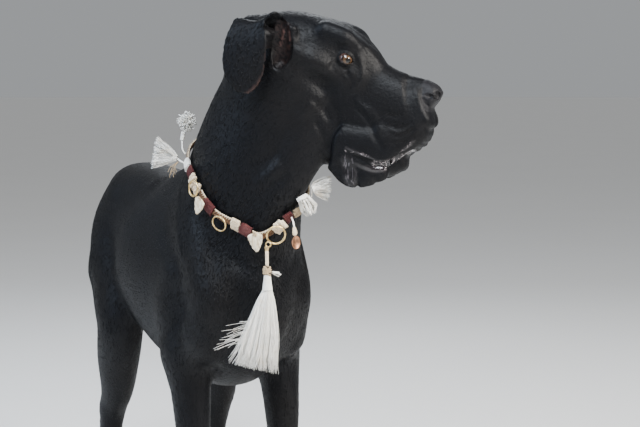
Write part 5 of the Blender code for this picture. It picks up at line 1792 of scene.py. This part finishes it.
def plaited(name, loop, start, end, size):
    """A flat plait of three strands."""
    s = np.linspace(start, end, max(8, int((end - start) / 0.0011)))
    place, _, down, out = loop.at(s)
    centre = place + out * size[1]
    paths = []
    for k in range(3):
        q = (s - start) / 0.0135 * 2 * math.pi + k * 2 * math.pi / 3
        shift = down * (np.sin(q) * size[0] * 0.62)[:, None] + out * (np.sin(2 * q) * size[1] * 0.42)[:, None]
        paths.append(centre + shift)
    return tubes(name, paths, 0.0023, sides=8, flat=0.75, wide=down[None])


def edging(name, loop, start, end, size):
    """The pale stitched edge along the top of the plait."""
    s = np.linspace(start, end, max(8, int((end - start) / 0.0012)))
    place, ahead, down, out = loop.at(s)
    centre = place + out * size[1] * 1.15 - down * size[0] * 0.98
    lay = tubes(name, [centre], 0.0013, sides=6, wide=down[None])
    stitches = []
    for m in np.arange(start + 0.002, end - 0.002, 0.0052):
        place, ahead, down, out = loop.at(np.array([m]))
        bend = np.linspace(-0.2, 1.0, 7)[:, None]
        arc = place + out * (size[1] * (1.15 + 0.55 * np.sin(np.clip(bend, 0, 1) * 3.1416)) + 0.0010)
        stitches.append(arc - down * size[0] * (1.20 - 0.75 * bend) + ahead * (bend - 0.4) * 0.0030)
    return joined(name, [lay, tubes("stitch", np.array(stitches), 0.00055, sides=5)])


def ring(name, place, face, radius, wire):
    """A ring of round wire with its join filed flush."""
    face = Vector(unit(np.array(face, float)))
    turn = Vector((0, 0, 1)).rotation_difference(face).to_matrix().to_4x4()
    form = bmesh.new()
    bmesh.ops.create_circle(form, segments=14, radius=wire)
    bmesh.ops.rotate(form, verts=form.verts, cent=(0, 0, 0), matrix=Matrix.Rotation(math.pi / 2, 3, "X"))
    bmesh.ops.translate(form, verts=form.verts, vec=(radius, 0, 0))
    bmesh.ops.spin(form, geom=form.edges[:], cent=(0, 0, 0), axis=(0, 0, 1), angle=2 * math.pi, steps=64, use_merge=True)
    bmesh.ops.recalc_face_normals(form, faces=form.faces)
    bmesh.ops.transform(form, matrix=Matrix.Translation(place) @ turn, verts=form.verts)
    return from_form(name, form)


def from_form(name, form):
    mesh = bpy.data.meshes.new(name)
    form.to_mesh(mesh)
    form.free()
    item = bpy.data.objects.new(name, mesh)
    bpy.context.collection.objects.link(item)
    return smooth(item)


def shell(name, place, face, top, outline, thick):
    """A worn shell: an uneven outline, a domed front, and ribs that spread from its top."""
    face = unit(np.array(face, float))
    down = -unit(np.array(top, float) - (face @ np.array(top, float)) * face)
    side = np.cross(face, down)
    outline = np.array(outline, float)
    middle = outline.mean(0)
    off = outline - middle
    angles = np.arctan2(off[:, 1], off[:, 0])
    order = np.argsort(angles)
    radii = np.linalg.norm(off, axis=1)
    form = bmesh.new()
    bmesh.ops.create_uvsphere(form, u_segments=72, v_segments=28, radius=1.0)
    for vert in form.verts:
        x, y, z = vert.co
        q = math.atan2(y, x)
        share = min(1.0, math.hypot(x, y)) ** 0.8
        edge = np.interp(q, angles[order], radii[order], period=2 * math.pi)
        flat = middle + np.array((math.cos(q), math.sin(q))) * edge * share
        fan = math.atan2(flat[0], flat[1] + 0.010)
        rib = math.cos(fan * 26) * 0.00035 + math.cos(flat[1] * 900 + flat[0] * 120) * 0.00018
        height = thick * (0.5 + 0.5 * z) + rib * (z > 0)
        point = np.array(place) + flat[0] * side + flat[1] * down + height * face
        vert.co = Vector(point)
    bmesh.ops.recalc_face_normals(form, faces=form.faces)
    return from_form(name, form)


def yarn_tassel(name, stations, across, count, half, curl=0.0, spread=1.0, short=0.12, sides=3, keep=0.0):
    """Strands gathered at one end, spread and waved at the other."""
    form = Form(stations, across=across, steps=4)
    length = len(form.path)
    t = np.linspace(0, 1, 14)
    paths = []
    locks = [(math.sqrt(rng.random()), rng.uniform(0, 2 * math.pi), rng.uniform(0, 6.3, 4), rng.normal(0, 1, 2)) for _ in range(count // 13)]
    for k in range(count):
        reach = 1 - short * rng.random() ** 1.5
        at = t * reach * (length - 1)
        u, q, wave, lean = locks[k % len(locks)]
        lean = lean + rng.normal(0, 0.35, 2)
        loose = rng.normal(0, 0.075, 2)
        x, y = u * math.cos(q) * spread + loose[0], u * math.sin(q) * spread + loose[1]
        def row(values):
            return np.column_stack([np.interp(at, np.arange(length), values[:, k]) for k in range(values.shape[1])])
        centre, wide, side, up = row(form.path), row(form.half), row(form.side), row(form.up)
        grow = t**1.5
        x = x + grow * (0.10 * np.sin(t * 7 + wave[0]) + 0.05 * np.sin(t * 17 + wave[1]) + 0.06 * lean[0])
        y = y + grow * (0.12 * np.sin(t * 6 + wave[2]) + 0.06 * np.sin(t * 15 + wave[3]) + 0.08 * lean[1])
        path = centre + (x * wide[:, 0])[:, None] * side + (y * wide[:, 1])[:, None] * up
        if curl:
            path = path + curl * grow[:, None] * np.column_stack([np.sin(t * 11 + wave[k]) for k in range(3)])
        paths.append(path)
    size = half * np.interp(t, (0, 0.1, 0.9, 1), (0.9, 1.0, 1.0, 0.5))
    return tubes(name, np.array(paths), size, sides=sides)


def loose_strands(name, paths, half, sides=4):
    """Single yarns along points given one by one."""
    return tubes(name, np.array([smooth_rows(np.array(path, float), 20 // (len(path) - 1))[: 20 // (len(path) - 1) * (len(path) - 1) + 1] for path in paths]), half, sides=sides)


def knot(name, place, radius, thread, along, turns=7, flat=1.0):
    """Cord wound over itself into a knot."""
    along = unit(np.array(along, float))
    side = unit(np.cross(along, (0.3, 0.9, 0.2)))
    up = np.cross(along, side)
    t = np.linspace(0, 1, turns * 22)
    q = t * turns * 2 * math.pi
    tilt = 0.75 * np.sin(t * turns * 2 * math.pi / 3.0 + 0.6)
    path = np.array(place) + radius * (
        np.cos(q)[:, None] * side + (np.sin(q) * np.cos(tilt))[:, None] * up * flat + (np.sin(q) * np.sin(tilt) + 0.55 * np.sin(q / 5.0))[:, None] * along
    )
    return tubes(name, [path], thread, sides=7, wide=np.cross(np.gradient(path, axis=0), along)[None])


def bound(name, low, high, radius_low, radius_high, thread):
    """Thread wound round the neck of a tassel."""
    low, high = np.array(low, float), np.array(high, float)
    along = unit(high - low)
    side = unit(np.cross(along, (0.3, 0.9, 0.2)))
    up = np.cross(along, side)
    turns = np.linalg.norm(high - low) / (2 * thread * 0.92)
    t = np.linspace(0, 1, int(turns * 16))
    q = t * turns * 2 * math.pi
    radius = radius_low + (radius_high - radius_low) * t
    path = low + (high - low) * t[:, None] + radius[:, None] * (np.cos(q)[:, None] * side + np.sin(q)[:, None] * up)
    return tubes(name, [path], thread, sides=7, wide=np.broadcast_to(along, path.shape)[None])


def make_tag(name, place, face, half_w, half_h, thick):
    """A bare oval tag with a raised rim."""
    face = Vector(unit(np.array(face, float)))
    down = Vector((0, 0, -1))
    down = (down - down.dot(face) * face).normalized()
    side = face.cross(down)
    form = bmesh.new()
    bmesh.ops.create_circle(form, cap_ends=True, segments=40, radius=1.0)
    bmesh.ops.scale(form, vec=(half_w, half_h, 1), verts=form.verts)
    plate = form.faces[:]
    made = bmesh.ops.extrude_face_region(form, geom=plate)
    bmesh.ops.translate(form, verts=[g for g in made["geom"] if isinstance(g, bmesh.types.BMVert)], vec=(0, 0, thick))
    caps = [f for f in form.faces if len(f.verts) > 4]
    bmesh.ops.recalc_face_normals(form, faces=form.faces)
    for cap in caps:
        inner = bmesh.ops.inset_individual(form, faces=[cap], thickness=0.0011)
        del inner
        bmesh.ops.inset_individual(form, faces=[cap], thickness=0.0004)
        bmesh.ops.translate(form, verts=cap.verts, vec=cap.normal * -0.00045)
    edges = [e for e in form.edges if len(e.link_faces) == 2 and e.calc_face_angle(0) > 0.9]
    bmesh.ops.bevel(form, geom=edges, offset=0.0002, affect="EDGES", segments=2, profile=0.5, material=-1)
    matrix = Matrix((side, down, face)).transposed().to_4x4()
    bmesh.ops.transform(form, matrix=Matrix.Translation(place) @ matrix, verts=form.verts)
    bmesh.ops.recalc_face_normals(form, faces=form.faces)
    return from_form(name, form)


def placed(item, name, material, slot, *nodes):
    """Names a piece, moves it to the box's middle, and hides the solids it stands for."""
    item.name = item.data.name = name
    item.data.transform(Matrix.Translation(PLACE))
    item.data.materials.clear()
    item.data.materials.append(material)
    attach(item, "root")
    if nodes:
        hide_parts(*nodes)
    return item


def make_collar(shapes, look):
    loop = Loop(shapes)
    for name, start, end in (
        ("collar_cord_far", -loop.whole + 0.2705, -0.0705),
        ("collar_cord_rear", 0.1625, 0.1815),
        ("collar_cord_side", 0.0925, 0.1315),
        ("collar_cord_front", 0.0005, 0.0435),
    ):
        placed(plaited(name, loop, start, end, CORD), name + "_plait", look["brown_cord"], "brown_cord", name)
        placed(edging(name, loop, start, end, CORD), name + "_edging", look["cream_cloth"], "cream_cloth")
    for name, start, end, size, slot, thread, plies, loose in (
        ("collar_wrap_rear", 0.2235, 0.2455, WRAP, "burgundy_cord", 0.0013, 2, 0.05),
        ("collar_wrap_side", 0.1320, 0.1620, WRAP, "burgundy_cord", 0.0013, 2, 0.04),
        ("collar_wrap_front", 0.0440, 0.0690, WRAP, "burgundy_cord", 0.0013, 2, 0.05),
        ("collar_wrap_left", -0.0450, -0.0275, WRAP, "burgundy_cord", 0.0013, 2, 0.05),
        ("collar_wrap_cream", 0.0695, 0.0920, WRAP, "cream_cloth", 0.0020, 2, 0.04),
        ("collar_roll_rear", 0.2015, 0.2230, ROLL, "cream_cloth", 0.0042, 3, 0.05),
        ("collar_roll_rear_low", 0.1820, 0.2010, ROLL, "cream_cloth", 0.0042, 3, 0.05),
        ("collar_roll_front", -0.0270, 0.0000, ROLL, "cream_cloth", 0.0042, 3, 0.05),
        ("collar_tie_rear", 0.2460, 0.2700, (0.0095, 0.0055), "white_yarn", 0.0013, 2, 0.12),
        ("collar_tie_left", -0.0700, -0.0455, (0.0095, 0.0060), "tan_cord", 0.0014, 2, 0.12),
    ):
        middle = core(name, loop, start, end, size, 0.72)
        thread_piece = wound(name, loop, start, end, size, thread, thread * 1.85, plies, loose)
        placed(joined(name, [middle, thread_piece]), name + "_wound", look[slot], slot, name)

    for name, along, low, radius, wire, lean in (
        ("collar_ring_rear", 0.1885, -0.003, 0.0140, 0.0017, 0.0),
        ("collar_ring_side", 0.1110, 0.0110, 0.0140, 0.0015, 0.30),
        ("collar_ring_front", -0.0010, 0.0040, 0.0162, 0.0018, 0.0),
    ):
        rise = 2 * (ROLL[1] if lean == 0.0 else CORD[1])
        place, _, down, out = (row[0] for row in loop.at(np.array([along])))
        face = math.cos(lean) * out + math.sin(lean) * down
        lift = rise + wire + 0.0006 - math.sin(lean) * (low - radius * 0.2) + 0.0012
        placed(ring(name, place + down * low + out * lift, face, radius, wire), name + "_wire", look["brass"], "brass", name)

    outline = [(-0.014, 0.0), (-0.007, -0.003), (0.0, -0.0035), (0.007, -0.003), (0.014, 0.0), (0.0135, 0.005), (0.012, 0.010), (0.008, 0.018)]
    outline += [(0.004, 0.025), (0.000, 0.030), (-0.003, 0.031), (-0.007, 0.026), (-0.0095, 0.019), (-0.012, 0.012), (-0.0137, 0.006)]
    for name, along, low, lift, lean in (
        ("collar_shell_rear", 0.1635, -0.001, 0.0100, 0.10),
        ("collar_shell_front", 0.0330, -0.004, 0.0080, 0.10),
    ):
        place, ahead, down, out = (row[0] for row in loop.at(np.array([along])))
        face = math.cos(lean) * out + math.sin(lean) * down
        top = -down + 0.35 * ahead
        piece = shell(name, place + down * low + out * lift, face, top, outline, 0.007)
        placed(piece, name + "_ribbed", look["cream_shell"], "cream_shell", name)
        tie = [place + out * (lift + 0.0035) + ahead * k * 0.0025 - down * 0.006 for k in (-1, 0, 1)]
        path = [tie[0] + down * 0.008 - out * 0.001, tie[0] + out * 0.004, tie[1] + out * 0.0046 - down * 0.002, tie[2] + out * 0.004, tie[2] + down * 0.008 - out * 0.001]
        placed(loose_strands("tie", [path], 0.0011, 6), name + "_tie", look["tan_cord"], "tan_cord")
    make_tassels(loop, look)
    make_pendant(look)
    return loop


def pompom(name, foot, stations, count, half):
    """Curls of yarn from a stem into a loose ball."""
    middle, radius = np.array(stations[3][:3]), np.array([stations[3][3], stations[3][3], stations[3][3] * 1.1])
    paths = []
    t = np.linspace(0, 1, 20)[:, None]
    for _ in range(count):
        way = unit(rng.normal(0, 1, 3) + (0, 0, 0.25)) * rng.uniform(0.75, 1.0)
        wave = rng.uniform(0, 6.3, 3)
        path = foot * (1 - t) ** 2 + 2 * t * (1 - t) * (middle + 0.2 * radius * way) + t**2 * (middle + radius * way)
        curl = np.column_stack([np.sin(t[:, 0] * 19 + w) for w in wave])
        paths.append(path + 0.0021 * t**1.2 * curl)
    return tubes(name, np.array(paths), half, sides=3)


def make_tassels(loop, look):
    tassels = {
        "tassel_rear_low": (
            [
                (-0.038, -0.1055, 0.8470, 0.004, 0.004, 0.004),
                (-0.046, -0.1150, 0.8500, 0.012, 0.008, 0.008),
                (-0.056, -0.1290, 0.8540, 0.023, 0.008, 0.008),
                (-0.066, -0.1420, 0.8570, 0.027, 0.007, 0.007),
            ],
            (0, 0, 1),
            260,
            0.0006,
        ),
        "tassel_left_low": (
            [
                (0.2060, 0.0300, 0.7910, 0.008, 0.006, 0.006),
                (0.2085, 0.0352, 0.7820, 0.012, 0.008, 0.008),
                (0.2085, 0.0420, 0.7700, 0.014, 0.009, 0.009),
                (0.2085, 0.0480, 0.7590, 0.009, 0.007, 0.007),
            ],
            (0.45, 0.89, 0),
            240,
            0.0016,
        ),
        "tassel_left_high": (
            [
                (0.1985, 0.0545, 0.8020, 0.004, 0.004, 0.004),
                (0.1995, 0.0620, 0.8035, 0.012, 0.007, 0.007),
                (0.1990, 0.0770, 0.8040, 0.018, 0.009, 0.009),
                (0.2000, 0.0900, 0.8020, 0.019, 0.008, 0.008),
            ],
            (0, 0.2, 1),
            260,
            0.0005,
        ),
    }
    stations = [(-0.065, -0.076, 0.898, 0.013), (-0.065, -0.076, 0.905, 0.017), (-0.065, -0.076, 0.910, 0.018), (-0.065, -0.0755, 0.913, 0.0185)]
    foot = np.array((-0.064, -0.0830, 0.890))
    ball = pompom("ball", foot, stations, 210, 0.00062)
    stem = bound("stem", (-0.063, -0.0860, 0.8790), foot + (0, 0, 0.004), 0.0032, 0.0030, 0.0009)
    placed(joined("ball", [ball, stem]), "tassel_rear_high_yarn", look["white_yarn"], "white_yarn", "tassel_rear_high")
    ends = []
    for k in range(7):
        start = np.array((-0.034, -0.104, 0.842))
        way = np.array((-0.002 - 0.0016 * k, -0.004 - 0.0022 * k, -0.020 - 0.005 * (k % 3)))
        ends.append([start, start + 0.5 * way - (0.002, 0.004, 0), start + way])
    placed(loose_strands("ends", ends, 0.0005, 5), "collar_loose_ends", look["tan_cord"], "tan_cord")
    links = []
    for along, rise, foot in (
        (0.2900 - loop.whole, 0.0100, (-0.063, -0.0860, 0.8795)),
        (0.2600, 0.0090, (-0.0385, -0.1055, 0.8470)),
        (-0.0580, 0.0100, (0.2060, 0.0300, 0.7905)),
        (-0.0850, 0.0100, (0.1985, 0.0550, 0.8020)),
        (-0.0400, 0.0100, (0.2000, 0.0200, 0.7370)),
    ):
        place, _, _, out = (row[0] for row in loop.at(np.array([along])))
        foot, top = np.array(foot), place + out * rise
        links.append([top - 0.002 * out, top + 0.35 * (foot - top) + 0.002 * out, foot])
    placed(loose_strands("links", links, 0.0015, 7), "collar_links", look["white_yarn"], "white_yarn")
    for name, (stations, across, count, curl) in tassels.items():
        strands = yarn_tassel(name, stations, across, count, 0.00048, curl)
        first, second = np.array(stations[0][:3]), np.array(stations[1][:3])
        wrap = bound(name, first, first + (second - first) * 0.55, stations[0][3] + 0.0008, stations[0][3] + 0.0016, 0.0008)
        placed(joined(name, [strands, wrap]), name + "_yarn", look["white_yarn"], "white_yarn", name)


def make_pendant(look):
    skirt = [
        (0.1850, -0.0245, 0.6440, 0.006, 0.006, 0.006),
        (0.1850, -0.0247, 0.6260, 0.008, 0.007, 0.007),
        (0.1845, -0.0290, 0.6000, 0.017, 0.011, 0.011),
        (0.1840, -0.0400, 0.5400, 0.030, 0.016, 0.016),
        (0.1830, -0.0510, 0.4900, 0.040, 0.018, 0.018),
    ]
    strands = yarn_tassel("skirt", skirt, (0.45, 0.89, 0), 620, 0.00052, 0.0006, short=0.10)
    wrap = bound("neck", (0.1850, -0.0246, 0.6280), (0.1850, -0.0247, 0.6545), 0.0082, 0.0050, 0.0009)
    blown = []
    for _ in range(22):
        start = rng.uniform(0.28, 0.72)
        root = np.array((0.1845, -0.0285, 0.600)) * (1 - start) + np.array((0.1832, -0.072, 0.510)) * start
        size = rng.uniform(0.025, 0.075)
        droop = rng.uniform(-0.2, 0.6)
        way = np.array((-0.40, -0.80, -0.18 + 0.5 * rng.random() - 0.25))
        bend = np.array((0.0, 0.0, -droop))
        blown.append([root, root + size * 0.5 * way + size * 0.12 * bend, root + size * way + size * 0.5 * bend])
    wisps = loose_strands("wisps", blown, 0.00028, 3)
    placed(joined("skirt", [strands, wrap, wisps]), "pendant_tassel_yarn", look["white_yarn"], "white_yarn", "pendant_tassel")
    piece = knot("knot", (0.1850, -0.0250, 0.6608), 0.0066, 0.0015, (0, 0, 1), 8)
    placed(piece, "pendant_knot_cord", look["tan_cord"], "tan_cord", "pendant_knot")
    tuft = [
        (0.1870, -0.0165, 0.6590, 0.0030, 0.003, 0.003),
        (0.1890, -0.0075, 0.6570, 0.0060, 0.004, 0.004),
        (0.1895, -0.0020, 0.6550, 0.0070, 0.004, 0.004),
    ]
    piece = yarn_tassel("tuft", tuft, (0, 0.2, 1), 70, 0.00045, 0.0006)
    placed(piece, "pendant_tuft_yarn", look["white_yarn"], "white_yarn", "pendant_tuft")
    strap = tubes("strap", [[(0.1850, -0.0255, 0.6960), (0.1850, -0.0254, 0.689), (0.1850, -0.0253, 0.682), (0.1850, -0.0252, 0.6740), (0.1850, -0.0251, 0.6680)]], 0.0030, 10, 0.55, (0.45, 0.89, 0))
    placed(strap, "pendant_strap_woven", look["cream_cloth"], "cream_cloth", "pendant_strap")
    body = Form([(0.1853, -0.0254, 0.7035, 0.0040, 0.0030, 0.0030), (0.1850, -0.0256, 0.6985, 0.0034, 0.0026, 0.0026), (0.1850, -0.0256, 0.6955, 0.0020, 0.0020, 0.0020)], across=(0.45, 0.89, 0))
    bar = tubes("hook", [body.path], body.half[:, 0], 12, 0.75, (0.45, 0.89, 0))
    gate = ring("gate", (0.1876, -0.0238, 0.7078), (0.9, -0.45, 0.0), 0.0044, 0.0012)
    placed(joined("hook", [bar, gate]), "pendant_hook_brass", look["brass"], "brass", "pendant_hook")
    stem = tubes("stem", [[(0.2000, 0.0200, 0.7370), (0.2002, 0.0206, 0.7330), (0.2002, 0.0211, 0.7290), (0.2000, 0.0215, 0.7260), (0.1996, 0.0222, 0.7225)]], [0.0032, 0.0042, 0.0050, 0.0052, 0.0030], 10, 0.4, (-0.2, 0.98, 0))
    placed(stem, "tag_stem_woven", look["cream_cloth"], "cream_cloth", "tag_stem")
    placed(make_tag("tag", (0.1990, 0.0235, 0.7100), (0.98, 0.2, 0), 0.0090, 0.0115, 0.0020), "tag_bare", look["copper"], "copper", "collar_tag")


# The stage


def aimed(item, place, target):
    item.location = place
    way = Vector(target) - Vector(place)
    item.rotation_mode = "QUATERNION"
    item.rotation_quaternion = way.to_track_quat("-Z", "Y")
    bpy.context.collection.objects.link(item)


def soft_light(name, place, target, size, power, colour):
    light = bpy.data.lights.new(name, "AREA")
    light.shape, light.size, light.energy, light.color = "DISK", size, power, colour
    aimed(bpy.data.objects.new(name, light), place, target)


def set_stage():
    lens = bpy.data.cameras.new("view")
    lens.lens, lens.sensor_width, lens.clip_end = 75.94, 36.0, 200.0
    camera = bpy.data.objects.new("view", lens)
    place = np.array((2.3052, -0.9795, 1.0)) + PLACE
    low = math.radians(5.857)
    ahead = np.array((-0.8949 * math.cos(low), 0.4462 * math.cos(low), -math.sin(low)))
    aimed(camera, place.tolist(), (place + ahead).tolist())
    bpy.context.scene.camera = camera
    form = bmesh.new()
    bmesh.ops.create_circle(form, cap_ends=True, segments=64, radius=60.0)
    floor = from_form("floor", form)
    floor.data.materials.append(floor_finish())
    chest = (0.35, -0.05, 0.8)
    soft_light("key", (2.5, 1.0, 2.2), chest, 1.1, 190.0, (1.0, 0.96, 0.90))
    soft_light("top", (1.7, -1.2, 3.1), (0.45, 0.0, 0.9), 1.0, 150.0, (0.86, 0.93, 1.0))
    soft_light("sky", (-0.8, -2.7, 2.4), chest, 1.8, 95.0, (0.60, 0.76, 1.0))
    soft_light("back", (-2.0, 1.2, 2.4), chest, 1.5, 30.0, (0.90, 0.95, 1.0))
    day = bpy.data.lights.new("day", "SUN")
    day.energy, day.angle = 0.36, math.radians(40)
    aimed(bpy.data.objects.new("day", day), (2.0, -1.5, 3.5), chest)
    world = bpy.data.worlds.new("studio")
    world.use_nodes = True
    world.node_tree.nodes["Background"].inputs[0].default_value = (0.86, 0.89, 0.92, 1)
    world.node_tree.nodes["Background"].inputs[1].default_value = 0.40
    bpy.context.scene.world = world


# All of it

HEAD = head_shape()
EARS = ear_shape()
BODY = body_shape()
add_face(HEAD)
add_ear_details(EARS)
add_body_details(BODY)
shapes = [BODY, HEAD, EARS]
set_stage()
look = {
    "brown_cord": yarn_finish("cord_brown", (0.16, 0.080, 0.034), (0.060, 0.026, 0.011), (0.24, 0.15, 0.08), rough=0.75, sheen=0.08),
    "burgundy_cord": yarn_finish("cord_burgundy", (0.115, 0.018, 0.018), (0.030, 0.006, 0.006), (0.20, 0.08, 0.07), rough=0.62, sheen=0.04),
    "cream_cloth": yarn_finish("cloth_cream", (0.80, 0.68, 0.50), (0.56, 0.43, 0.28), (0.46, 0.34, 0.21)),
    "white_yarn": yarn_finish("yarn_white", (0.95, 0.94, 0.90), (0.84, 0.80, 0.72), (0.70, 0.60, 0.46)),
    "tan_cord": yarn_finish("cord_tan", (0.50, 0.37, 0.21), (0.30, 0.20, 0.11), (0.22, 0.14, 0.08)),
    "brass": metal_finish("metal_brass", (0.72, 0.53, 0.25), (0.42, 0.29, 0.13), 0.22),
    "copper": metal_finish("metal_copper", (0.46, 0.23, 0.13), (0.20, 0.11, 0.07), 0.34),
    "cream_shell": shell_finish(),
}
make_collar(shapes, look)
for side, name in ((1, "left_eye"), (-1, "right_eye")):
    placed(make_eye(side), name + "_ball", eye_finish(), "eye_amber", name)
skin = make_skin(shapes)
marks = mark_skin(skin)
tufts = make_tufts(skin, *marks, 76000, 5)
placed(
    skin, "skin", coat_finish(), "black_coat",
    "head", "neck", "trunk", "tail", "left_ear", "right_ear", "nose",
    "left_foreleg", "right_foreleg", "left_fore_paw", "right_fore_paw",
    "left_thigh", "right_thigh", "left_hock", "right_hock", "left_hind_paw", "right_hind_paw",
)
tuft_look = tuft_finish()
for k, piece in enumerate(tufts):
    placed(piece, f"coat_{k + 1}", tuft_look, "black_coat")
placed(make_whiskers(), "whiskers", tuft_look, "black_coat")
placed(make_claws(), "claws", claw_finish(), "nose_leather")
